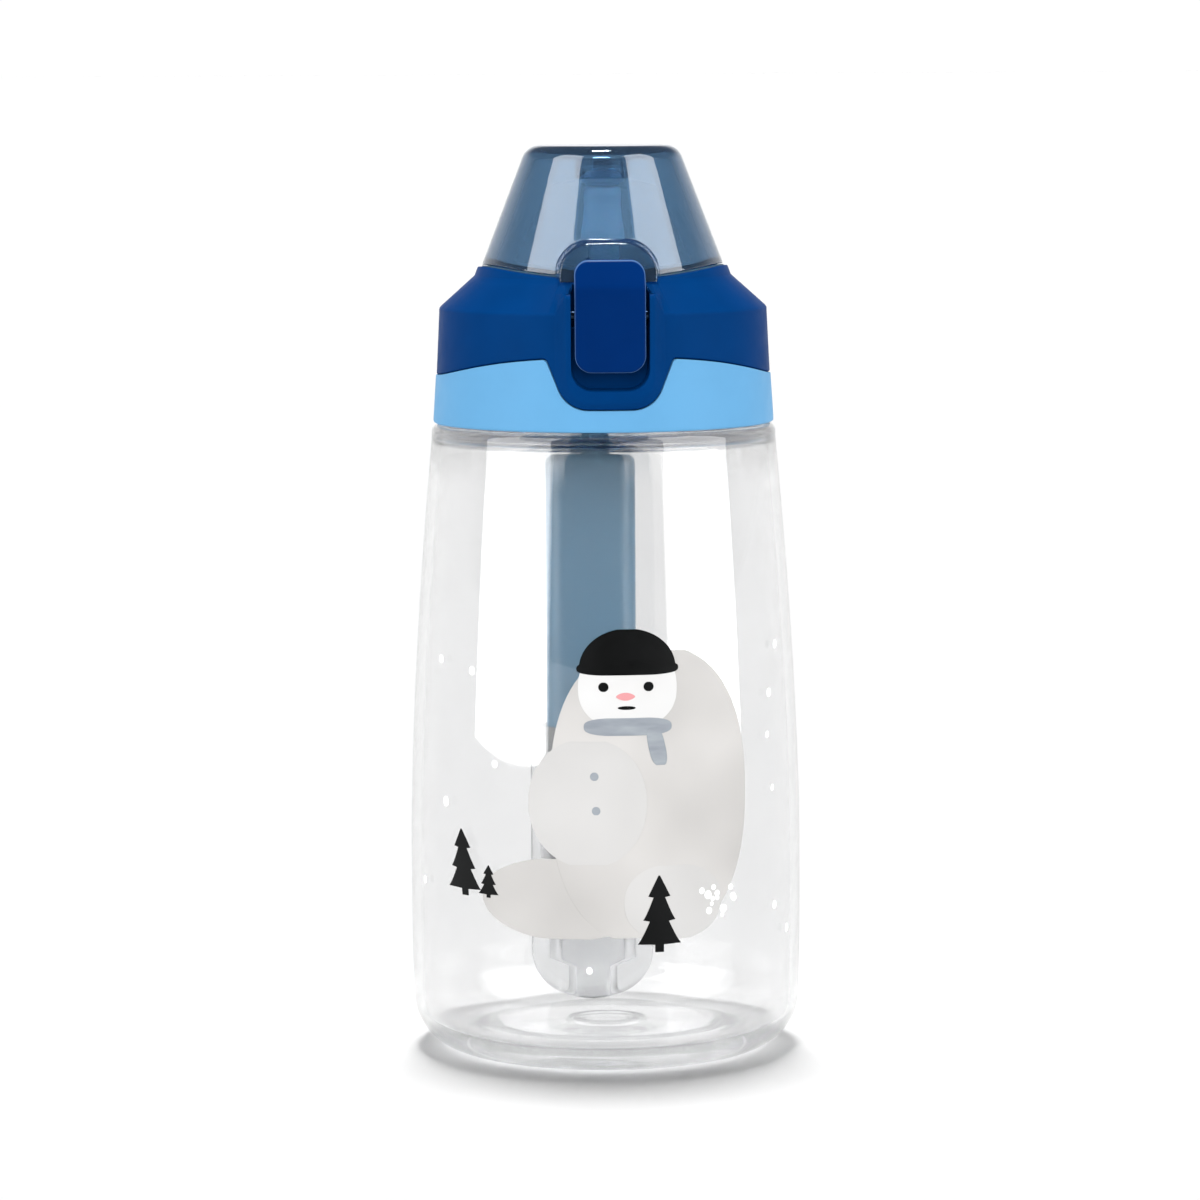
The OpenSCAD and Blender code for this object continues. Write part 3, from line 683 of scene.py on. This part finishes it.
def make_cover():
    turns = front_columns(COVER_R, (POCKET_HALF, 8.4, HOUSE_HALF - 0.5, HOUSE_HALF, 10.6, 11.4, 12.4))
    above = LIP_Z + 8  # higher than the arched top, which cuts it down
    deck = [(LIP_R - 0.06 * k, LIP_Z + 0.16 * k) for k in range(1, 13)]
    deck += [(r, above) for r in (23.0, 22.0, 21.2, RECESS_R + 0.25)]
    well = [(RECESS_R, -0.25), (RECESS_R, RECESS_Z + 0.3), (RECESS_R - 0.3, RECESS_Z), (14.0, RECESS_Z),
            (8.0, RECESS_Z), (5.0, RECESS_Z), (5.0, DECK_LOW + 0.2)]
    columns = []
    for turn in turns:
        seam = seam_at(turn) + COVER_GAP
        plain, house, recess = cover_column(turn, seam)
        s, c = math.sin(turn), math.cos(turn)
        p = around(plain, turn)
        p[:, 2] = soft_min(p[:, 2], arched(p[:, 1]), 0.5)
        in_front = c > 0 and abs(s) * HOUSE_R < HOUSE_HALF + 2.4
        if in_front:
            x = p[:, 0]
            h = np.stack([x, house_y(x, house[:, 0]), house[:, 1]], 1)
            h[:, 2] = np.minimum(h[:, 2], arched(h[:, 1]) + 0.02)
            w = in_house(x, p[:, 2])[:, None]
            p = p * (1 - w) + h * w
            q = np.stack([x, -recess[:, 0], recess[:, 1]], 1)
            inside = inside_box(x, recess[:, 1], POCKET_HALF, POCKET_LOW, OPEN_TOP, POCKET_ROUND, 1.0)
            w = smoothstep(-0.3, 0.12, inside)[:, None]
            p = p * (1 - w) + q * w
        d = around(deck, turn)
        d[:, 2] = soft_min(d[:, 2], arched(d[:, 1]), 0.3)
        b = around(well, turn)
        b[0, 2] += arched(b[0, 1])
        # underside, then the skirt behind the band, back to the seam
        under = [(5.2, DECK_LOW), (21.5, DECK_LOW), (22.5, 143.2), (29.4, 139.7), (COVER_IN, SKIRT_TOP),
                 (COVER_IN, SKIRT_LOW + 0.2), (COVER_IN + 0.2, SKIRT_LOW), (BAND_IN - 0.06, SKIRT_LOW),
                 (BAND_IN - 0.06, seam)]
        edge = [(float(cover_side_r(seam)) - 0.25, seam), (float(cover_side_r(seam + 0.25)), seam + 0.2)]
        u = around(under + edge, turn)
        if c > 0 and abs(s) * COVER_IN < HOUSE_HALF - 0.3:
            out = np.hypot(u[:, 0], u[:, 1])
            inner = (out > 21) & (out < BAND_IN - 0.3)
            wall = 1.1
            limit = np.where(u[:, 2] > SKIRT_TOP - 0.1, -(POCKET_DEEP_Y - wall), -(POCKET_Y - wall))
            u[:, 1] = np.where(inner, np.maximum(u[:, 1], limit), u[:, 1])
        if in_front:
            rim = slice(-2, None)
            w = in_house(u[rim, 0], u[rim, 2])
            u[rim, 1] = u[rim, 1] * (1 - w) + house_y(u[rim, 0]) * w
        columns.append(np.vstack([p, d, b, u]))
    cover = ring_skin("navy_cover", columns, "lid")
    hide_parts("lid_cover")
    paint(cover, NAVY)


def make_ears():
    outline = arc(HINGE_Y, HINGE_Z, BARREL_R, 0, math.pi, 17)
    outline += [(HINGE_Y - BARREL_R, EAR_LOW), (HINGE_Y + BARREL_R, EAR_LOW)]
    prism_pair("hinge_ear", outline, 4.6, 2.8, "lid", NAVY, 0.35)


# -------- button
def button_face(z):
    """How far in front of the axis the button's face lies: upright, then leaning back."""
    front, bend_z, lean, soft = 33.0, 147.3, 0.72, 0.35
    return front - lean * soft * np.logaddexp(0, (z - bend_z) / soft)


def make_button():
    low_box, high_box = node_box("button")
    low, high = low_box[2], high_box[2]
    half_w = high_box[0]
    rows, cols = 90, 60
    r_low, r_high, edge, thick = 3.2, 2.8, 0.55, 2.0
    crown_r = 90  # the face is a little round from side to side
    z_all = low + 0.004 + (high - low - 0.008) * (0.25 * np.linspace(0, 1, rows) + 0.75 * eased(rows))
    u_all = 2 * (0.15 * np.linspace(0, 1, cols) + 0.85 * eased(cols)) - 1
    front, back = [], []
    for z in z_all:
        if z < low + r_low:
            reach = half_w - r_low + math.sqrt(max(r_low ** 2 - (low + r_low - z) ** 2, 0))
        elif z > high - r_high:
            reach = half_w - r_high + math.sqrt(max(r_high ** 2 - (z - high + r_high) ** 2, 0))
        else:
            reach = half_w
        x = u_all * reach
        zs = np.full_like(x, z)
        depth = inside_box(x, zs, half_w, low, high, r_low, r_high)
        drop = edge - np.sqrt(np.maximum(edge ** 2 - np.maximum(edge - depth, 0) ** 2, 0))
        face = float(button_face(z))
        front.append(np.stack([x, -(face - drop - x ** 2 / (2 * crown_r)), zs], 1))
        back.append(np.stack([x, np.full_like(x, -(face - thick)), zs], 1))
    button = slab("rocker_button", front, back, "latch")
    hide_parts("button")
    paint(button, BUTTON)
    pivot_y, pivot_z, lug_r, lug_y = -29.0, 142.0, 1.9, -31.4
    outline = arc(pivot_y, pivot_z, lug_r, -math.pi / 2, math.pi / 2, 15)
    outline += [(lug_y, pivot_z + 1.6), (lug_y, pivot_z - 1.6)]
    prism_pair("button_lug", outline, 3.6, 2.4, "latch", BUTTON)
    outline = [(-28.6, 151.8), (-26.8, 151.5), (-26.8, 150.6), (-29.4, 149.6)]
    nose = prism("button_nose", outline, -3.5, 3.5, "latch", 0.2)
    paint(nose, BUTTON)


# -------- dome
def dome_r(z):
    """Outside radius of the dome's wall."""
    return DOME_R - DOME_LEAN * (z - DOME_BASE)


def rim_z(r, turn):
    """Height of the dome's rim, a gap above the cover's arched top."""
    return float(arched(-r * math.cos(turn))) + RIM_GAP


def rim_start(turn):
    """Radius and height at which the dome's wall meets its arched rim."""
    z = DOME_BASE
    for _ in range(12):
        z = rim_z(dome_r(z), turn)
    return dome_r(z), z


def seat_rim(p):
    """Puts the first two points of a column on the rim that follows the cover's arched top."""
    p[:2, 2] = arched(p[:2, 1]) + RIM_GAP + np.array([0, 0.08])


def arch_in_front(p):
    """Lays a column of the dome's front on the flat face of the arch, and hollows it behind the button."""
    plane = ARCH_FACE_Y + (p[:, 2] - ARCH_FACE_Z) * ARCH_FACE_LEAN
    w = smoothstep(-0.15, 0.75, inside_box(p[:, 0], p[:, 2], ARCH_HALF, OPEN_LOW, ARCH_TOP, 1.0, ARCH_ROUND))
    y = p[:, 1] * (1 - w) + np.minimum(p[:, 1], plane) * w
    nest = inside_box(p[:, 0], p[:, 2], POCKET_HALF, OPEN_LOW, NEST_TOP, 1.0, NEST_ROUND)
    w = smoothstep(-0.3, 0.2, nest)
    p[:, 1] = y * (1 - w) + np.maximum(y, -POCKET_DEEP_Y) * w
    seat_rim(p)
    p[2:, 2] = np.maximum(p[2:, 2], arched(p[2:, 1]) + RIM_GAP + 0.1)


def make_dome():
    turns = front_columns(DOME_R - 0.5, (8.2, ARCH_HALF - 0.4, ARCH_HALF), reach=12.0, coarse=0.35, fine=0.1,
                          rest=3.0)
    corner = 3.8
    split = 157.5  # the rows are closer together below this height
    in_top = DOME_TOP - 2.1
    socket_r, socket_z = 5.15, 166.5
    columns = []
    for turn in turns:
        r0, z0 = rim_start(turn)
        z = np.concatenate([np.linspace(z0 + 0.35, split, 56), np.linspace(split, DOME_TOP - 4.6, 12)[1:]])
        wall = np.stack([dome_r(z), z], 1)
        crown = rounded([tuple(wall[-1]), (float(dome_r(DOME_TOP)), DOME_TOP, corner), (8.0, DOME_TOP, 0),
                         (4.0, DOME_TOP, 0), (0.0, DOME_TOP)], 10)[1:]
        p = around(np.vstack([[(r0 - 0.35, z0), (r0 - 0.1, z0 + 0.08)], wall, crown]), turn)
        seat_rim(p)
        if math.cos(turn) > 0:
            arch_in_front(p)
        # inside: ceiling with the plug's socket, wall, rim
        ceiling = rounded([(0.0, in_top - 1.7), (4.0, in_top - 1.7, 0), (4.0, socket_z, 0.1),
                           (socket_r, socket_z, 0.2), (socket_r, in_top, 0.3),
                           (float(dome_r(in_top)) - DOME_WALL, in_top, 1.6),
                           (float(dome_r(165.0)) - DOME_WALL, 165.0)], 5)
        r_in = r0 - DOME_WALL - 0.1
        z_in = np.linspace(164.0, rim_z(r_in, turn) + 0.3, 26)
        wall_in = np.stack([dome_r(z_in) - DOME_WALL, z_in], 1)
        foot = [(r_in + 0.35, rim_z(r_in + 0.35, turn))]
        columns.append(np.vstack([p, around(np.vstack([ceiling, wall_in, foot]), turn)]))
    # a column runs from the rim up the outside, and down the inside to the rim again
    dome = ring_skin("tinted_dome", columns, "dome")
    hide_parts("flip_cap")
    paint(dome, TINT)
    outline = arc(HINGE_Y, HINGE_Z, BARREL_R, math.radians(-120), math.radians(75), 15)
    outline += [(HINGE_Y + y, HINGE_Z + z) for y, z in ((-5.2, 4.0), (-6.3, 3.9), (-6.0, 0.6), (-3.0, 0.5))]
    prism_pair("dome_knuckle", outline, 1.95, 2.3, "dome", TINT)


def make_plug():
    profile = rounded([(0, 165.1), (3.0, 165.1, 0.3), (3.45, 165.7, 0.2), (3.95, 165.75, 0.15),
                       (3.95, 168.2, 0.2), (0, 168.2)], 4)
    plug = lathe("sealing_plug", profile, "dome", 64)
    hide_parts("cap_plug")
    paint(plug, SILICONE)


# -------- mouthpiece
def make_mouthpiece():
    top = node_box("mouthpiece")[1][2]
    profile = rounded([
        (3.05, 139.3), (6.4, 139.3, 0.2), (6.4, 140.3, 0.3), (4.25, 140.3, 0.5), (4.15, 152.6, 0.3),
        (4.15, 156.0, 1.5), (3.75, 158.2, 2.0), (3.45, top - 3.0, 1.5), (3.6, top - 1.6, 0.9),
        (3.3, top, 0.7), (2.1, top, 0.35), (1.75, top - 1.0, 0.3), (1.75, 150.2, 0.1), (3.05, 150.2, 0.1),
        (3.05, 139.3)], 5)[:-1]
    spout = lathe("mouthpiece_spout", profile, "lid", 96)
    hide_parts("mouthpiece")
    paint(spout, SILICONE)


# -------- straw
def flat_loop(half_w, half_t, z):
    """Points round a flat oval; its two round ends give way quickly to the flat sides."""
    count, quick = 64, 3.0
    turns = [2 * math.pi * k / count for k in range(count)]
    return [((half_w - half_t) * np.clip(math.cos(a) * quick, -1, 1) + half_t * math.cos(a),
             half_t * math.sin(a), z) for a in turns]


def flat_tube(name, stations, centre_x):
    """A closed skin through flat ovals of (half width, half thickness, z)."""
    loops = np.array([flat_loop(*s) for s in stations])
    loops[..., 0] += centre_x
    return ring_skin(name, loops, "lid")


def oval_of(node):
    """A CAD node's middle across, half width, half thickness, bottom and top."""
    low, high = node_box(node)
    return (low[0] + high[0]) / 2, (high[0] - low[0]) / 2, (high[1] - low[1]) / 2, low[2], high[2]


def make_straw():
    centre_x, half_w, half_t, bottom, neck_top = oval_of("straw_tube")
    shoulder, corner, neck = 115.8, 3.2, 3.75
    wall = 1.0
    inside, slim = neck - wall, 0.35 / 1.6  # the corner slims the thickness a little too
    up = [(half_w - 0.15, half_t - 0.15, bottom), (half_w, half_t, bottom + 0.3)]
    up += [(half_w, half_t, z) for z in np.linspace(bottom + 4, shoulder - corner, 14)]
    for a in np.radians(np.linspace(10, 90, 9)):
        inset = corner * (1 - math.cos(a))
        thin = half_t - slim * inset * half_t / corner
        up.append((half_w - inset, thin, shoulder - corner + corner * math.sin(a)))
    up += [(neck + 0.6, neck, shoulder + 0.25), (neck, neck, shoulder + 0.9), (neck, neck, neck_top - 0.2),
           (neck - 0.2, neck - 0.2, neck_top)]
    down = [(inside + 0.1, inside + 0.1, neck_top), (inside, inside, neck_top - 0.3),
            (inside, inside, shoulder - 1), (half_w - 3.5, half_t - 1.4, shoulder - 1.6),
            (half_w - wall, half_t - wall, shoulder - 4.5), (half_w - wall, half_t - wall, bottom)]
    straw = flat_tube("flat_straw", up + down, centre_x)
    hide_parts("straw_tube")
    paint(straw, STRAW)

    centre_x, half_w, half_t, bottom, top = oval_of("straw_foot")
    fit_w, fit_t, fit_low = 8.75, 4.35, 31.6
    step = 0.8
    round_w = 9.0
    up = []
    for a in np.radians(np.linspace(0, 90, 12)):
        inset = round_w * (1 - math.sin(a))
        up.append((half_w - inset, half_t - 0.12 * inset, bottom + round_w * (1 - math.cos(a))))
    up += [(half_w, half_t, z) for z in np.linspace(bottom + round_w + 3, top - 0.6, 10)]
    up += [(half_w - 0.3, half_t - 0.2, top)]
    down = [(fit_w, fit_t, top), (fit_w, fit_t, fit_low + 0.4), (fit_w - step, fit_t - step, fit_low),
            (fit_w - step, fit_t - step, bottom + 7.5), (4.6, 2.6, bottom + 6.0), (4.5, 2.5, bottom + 0.2)]
    foot = flat_tube("straw_clear_foot", up + down, centre_x)
    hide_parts("straw_foot")
    paint(foot, FOOT)


def make_spring():
    """Torsion spring on the hinge pin: close turns and a short leg."""
    coil_r, wire, half_length = 1.8, 0.28, 1.2
    turns, steps = 4, 28
    path = [(-half_length, HINGE_Y + coil_r, HINGE_Z - 4.0)]
    for k in range(turns * steps + 1):
        a = 2 * math.pi * k / steps
        x = -half_length + 2 * half_length * k / (turns * steps)
        path.append((x, HINGE_Y + coil_r * math.cos(a), HINGE_Z + coil_r * math.sin(a)))
    spring = wire_skin("torsion_spring", path, wire, "lid")
    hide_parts("hinge_spring")
    paint(spring, STEEL)


# -------- print on the body
PRINT_BACK = 0.015
INK_STEP = 0.02


def on_body(x, z, lift):
    """A point of the print: x sideways as seen from the front, lifted off the body."""
    r = body_r(z) + lift
    y = -np.sqrt(np.maximum(r ** 2 - x ** 2, 0))
    return np.stack([x, y, z], -1)


def patch(name, z0, z1, span, mat, layer, rows=40, cols=28):
    """A thin printed shape. span(z) gives its left and right edges."""
    lift = PRINT_BACK + INK_STEP * layer
    outer, inner = [], []
    for z in z0 + (z1 - z0) * (0.02 + 0.96 * eased(rows)):
        left, right = span(z)
        x = left + (right - left) * eased(cols)
        zs = np.full_like(x, z)
        outer.append(on_body(x, zs, lift + INK_STEP))
        inner.append(on_body(x, zs, lift))
    paint(slab(name, outer, inner, "bottle"), mat)


def oval(name, cx, cz, rx, rz, mat, layer, power=2.0, skew=0.0, rows=40, cols=28):
    """A printed oval; a higher power squares it, and skew leans it sideways."""
    def span(z):
        half = rx * (1 - min(abs(z - cz) / rz, 1) ** power) ** (1 / power)
        middle = cx + skew * (z - cz)
        return middle - half, middle + half
    patch(name, cz - rz, cz + rz, span, mat, layer, rows, cols)


def fir(name, cx, z0, height, width, mat, layer, lean=0.0):
    """A small fir tree: a short trunk and three tiers of drooping branches."""
    tiers, trunk = 3, 0.12 * height

    def span(z):
        middle = cx + lean * (z - z0)
        if z < z0 + trunk:
            half = 0.10 * width
        else:
            tier = (z - z0 - trunk) / (height - trunk) * tiers
            k = min(int(tier), tiers - 1)
            wide = width / 2 * (1 - 0.24 * k)
            narrow = width / 2 * (0.42 - 0.16 * k)
            half = wide + (narrow - wide) * (tier - k) ** 0.8 if k < tiers - 1 else wide * (1 - (tier - k))
        return middle - max(half, 0.03), middle + max(half, 0.03)
    patch(name, z0, z0 + height, span, mat, layer, rows=90, cols=8)


SNOW = ink("print_snow", (180, 178, 176), (200, 198, 196), 34, alpha=0.97)
SNOW_LIGHT = ink("print_snow_light", (188, 187, 186), (199, 198, 197), 40, alpha=0.98)
SNOW_FACE = ink("print_snow_face", (204, 203, 202), (212, 212, 212), 60)
WHITE_INK = ink("print_white", (246, 247, 248), (255, 255, 255), 80)
DARK_INK = ink("print_dark", (4, 5, 5), (14, 15, 16), 90)
WARM_INK = ink("print_warm", (206, 138, 142), (214, 152, 154), 90)
SCARF_INK = ink("print_scarf", (134, 140, 148), (152, 158, 164), 160, streak=(1, 1, 4))


def make_print():
    """A generic winter scene: a snowman with a woolly hat, a snowy hill, firs and falling snow."""
    # snow bank, hill and belly
    oval("print_bank", -9.0, 34.0, 15.3, 7.8, SNOW, 0, power=2.1)
    oval("print_hill", 6.6, 53.4, 18.4, 27.8, SNOW, 1, power=2.4)
    oval("print_belly", -4.8, 52.0, 11.0, 12.0, SNOW_LIGHT, 2, power=2.1)
    oval("print_snowball", 11.0, 33.2, 9.2, 7.2, SNOW_LIGHT, 2, power=2.2)
    # head, hat and face
    head_x, head_z = 2.7, 73.4
    oval("print_head", head_x, head_z, 9.2, 7.4, SNOW_FACE, 2, power=2.4)
    oval("print_scarf_wrap", head_x, head_z - 7.2, 8.2, 1.7, SCARF_INK, 3, power=3.0, rows=16)
    oval("print_scarf_end", head_x + 5.4, head_z - 11.0, 1.6, 3.6, SCARF_INK, 3, power=3.0, skew=-0.2,
         rows=16, cols=10)
    brim_z, hat_h, hat_half = head_z + 3.6, 7.4, 9.0

    def hat(z):
        half = hat_half * math.sqrt(max(1 - ((z - brim_z) / hat_h) ** 2, 0))
        return head_x - half, head_x + half
    patch("print_hat", brim_z, brim_z + hat_h, hat, DARK_INK, 3)
    oval("print_hat_brim", head_x, brim_z, hat_half + 0.5, 1.3, DARK_INK, 3, power=3.2, rows=14)
    for side, name in ((-1, "left"), (1, "right")):
        oval(f"print_eye_{name}", head_x - 0.3 + side * 4.2, head_z + 0.2, 0.95, 0.9, DARK_INK, 3,
             rows=12, cols=10)
    oval("print_nose", head_x - 0.4, head_z - 1.6, 1.8, 0.75, WARM_INK, 3, power=1.6, rows=12, cols=14)
    oval("print_mouth", head_x - 0.2, head_z - 3.7, 1.7, 0.35, DARK_INK, 3, rows=10, cols=12)
    for k in range(2):
        oval(f"print_coat_button_{k}", -3.6 + 0.3 * k, 57.0 - 6.4 * k, 0.8, 0.8, SCARF_INK, 3,
             rows=12, cols=10)
    # firs
    fir("print_fir_front", 8.4, 23.6, 15.0, 8.4, DARK_INK, 3)
    fir("print_fir_far", -27.4, 33.0, 13.0, 6.0, DARK_INK, 1, lean=-0.06)
    fir("print_fir_small", -23.2, 33.2, 6.4, 3.8, DARK_INK, 1)
    # falling snow: flakes all over, and specks round the snowball
    rng = random.Random(11)
    flakes = [(-31.5, 77.0), (-25.9, 75.6), (-30.9, 50.4), (-34.9, 34.4), (31.4, 79.2), (30.0, 70.4),
              (-4.7, 20.6), (31.0, 30.0), (33.7, 24.8), (-15.3, 79.8), (29.6, 62.6), (-21.9, 58.6),
              (30.6, 52.4)]
    for k, (x, z) in enumerate(flakes):
        size = 0.55 + 0.35 * rng.random()
        round_side = math.sqrt(max(1 - (x / 38) ** 2, 0.15))  # narrower where the body turns away
        oval(f"print_flake_{k:02d}", x, z, size * round_side, size * 1.15, WHITE_INK, 0, rows=10, cols=8)
    for k in range(13):
        a, d = 2 * math.pi * rng.random(), math.sqrt(rng.random())
        x, z = 19.4 + 3.4 * d * math.cos(a), 33.4 + 4.4 * d * math.sin(a)
        size = 0.35 + 0.35 * rng.random()
        oval(f"print_speck_{k:02d}", x, z, size, size * 1.2, WHITE_INK, 3, rows=8, cols=8)


# -------- build
make_body()
make_band()
make_cover()
make_ears()
make_button()
make_dome()
make_plug()
make_mouthpiece()
make_straw()
make_spring()
make_print()

paint_node("inner_cap", INNER)
paint_node("mouthpiece_collar", NAVY)
for name in ("lid_gasket", "vent_valve", "straw_adapter"):
    paint_node(name, SILICONE)
paint_node("deck_seal", SEAL)
# the button pin gets the near-black steel, painted shade for the gaps beside the button
for name in ("hinge_pin", "button_pin", "button_spring"):
    paint_node(name, PIN_SHADE_STEEL if name == "button_pin" else STEEL)


# -------- studio
def make_floor():
    size = 60.0
    corners = [(-size, -size, 0), (size, -size, 0), (size, size, 0), (-size, size, 0)]
    mesh = bpy.data.meshes.new("floor")
    mesh.from_pydata(corners, [], [(0, 1, 2, 3)])
    floor = bpy.data.objects.new("floor", mesh)
    bpy.context.scene.collection.objects.link(floor)
    mat, tree, shader = base_material("white_floor")
    tint = grey_ramp(tree, noise(tree, coords(tree), 30), 0.925, 0.935)
    put(shader, Base_Color=tint, Roughness=0.9, Specular_IOR_Level=0.0)
    paint(floor, mat)
    return floor


def lamp(name, kind, place, target, power, **settings):
    """A lamp at a place, pointed at a target."""
    light = bpy.data.lights.new(name, kind)
    light.energy = power
    for key, value in settings.items():
        setattr(light, key, value)
    obj = bpy.data.objects.new(name, light)
    bpy.context.scene.collection.objects.link(obj)
    obj.location = place
    obj.rotation_euler = (Vector(target) - Vector(place)).to_track_quat("-Z", "Y").to_euler()
    return obj


def light_only(light, objects):
    """Keeps a lamp's light to a few objects."""
    group = bpy.data.collections.new(light.name + "_lit")
    light.light_linking.receiver_collection = group
    for obj in objects:
        group.objects.link(obj)
    return group


def spare_floor(light, floor):
    """Keeps a lamp's light off the floor, so that the floor stays evenly white."""
    light_only(light, [floor]).collection_objects[0].light_linking.link_state = "EXCLUDE"


def make_lights(floor):
    # two tall softboxes in front, one on each side
    distance, turn_mid, width, height = 0.9, 61.0, 0.80, 1.5
    glow, gleam_glow, gleam_near = 2.8, 4.6, 0.99
    panel = {"shape": "RECTANGLE", "size": width, "size_y": height}
    for name, side in (("softbox_left", -1), ("softbox_right", 1)):
        turn = math.radians(turn_mid) * side
        place = (distance * math.sin(turn), -distance * math.cos(turn), height / 2)
        target = (0, 0, height / 2)
        spare_floor(lamp(name, "AREA", place, target, glow * math.pi * width * height, **panel), floor)
        # the same face once more, just in front and for the gloss alone
        place = (place[0] * gleam_near, place[1] * gleam_near, place[2])
        gleam = lamp(name + "_gleam", "AREA", place, target, gleam_glow * math.pi * width * height, **panel)
        gleam.visible_diffuse = False
        light_only(gleam, [bpy.data.objects[piece] for piece in ("clear_body", "tinted_dome")])
    # broad fill from the camera's side, too soft to show in the gloss
    fill = lamp("fill", "AREA", (0, -1.7, 0.75), (0, 0, 0.1), 15.0, shape="RECTANGLE", size=1.4, size_y=0.9)
    fill.visible_glossy = False
    fill.visible_transmission = False
    spare_floor(fill, floor)
    # overhead light, a little behind the object
    tilt, sun, sun_width = math.radians(8), 2.85, math.radians(13)
    lamp("overhead", "SUN", (0, math.sin(tilt), math.cos(tilt)), (0, 0, 0), sun, angle=sun_width)
    # a disc under the bottle lights the floor seen through the base, as light piped down a clear wall does
    under_r, under_z, under_glow = 0.0306, 0.001, 0.85
    under = lamp("under_base", "AREA", (0, 0, under_z), (0, 0, 0), under_glow * math.pi ** 2 * under_r ** 2,
                 shape="DISK", size=2 * under_r)
    for ray in ("camera", "glossy", "transmission"):
        setattr(under, "visible_" + ray, False)
    light_only(under, [floor])


def make_world():
    """Surroundings: bright low down behind the object, dim elsewhere."""
    dim, bright, dim_inside = 0.15, 1.02, 0.62
    world = bpy.data.worlds.new("studio")
    bpy.context.scene.world = world
    world.use_nodes = True
    tree = world.node_tree
    behind = eased_map(tree, coordinate(tree, "Generated", "Y"), -0.25, 0.35, 0.0, 1.0)
    low_down = eased_map(tree, coordinate(tree, "Generated", "Z"), 0.12, 0.5, 1.0, 0.0)
    both = maths(tree, "MULTIPLY", behind.outputs[0], low_down.outputs[0])
    # light that came through clear plastic finds the room a little brighter than a plain reflection does
    through = add(tree, "LightPath").outputs["Is Transmission Ray"]
    room = eased_map(tree, through, 0.0, 1.0, dim, dim_inside).outputs[0]
    glow = eased_map(tree, both, 0.0, 1.0, room, bright).outputs[0]
    put(tree.nodes["Background"], Color=glow, Strength=1.0)


def make_camera():
    turn, pitch, roll = math.radians(-2.4), 0.1063, 0.0052
    distance, aside, height = 0.975, -0.0003, 0.190
    camera = bpy.data.cameras.new("camera")
    camera.lens = 153.4
    camera.sensor_width = 36.0
    camera.clip_end = 50
    obj = bpy.data.objects.new("camera", camera)
    bpy.context.scene.collection.objects.link(obj)
    obj.location = (distance * math.sin(turn) + aside, -distance * math.cos(turn), height)
    obj.rotation_euler = (math.pi / 2 - pitch, roll, turn)
    bpy.context.scene.camera = obj


make_lights(make_floor())
make_world()
make_camera()
bpy.context.scene.view_settings.view_transform = "Standard"
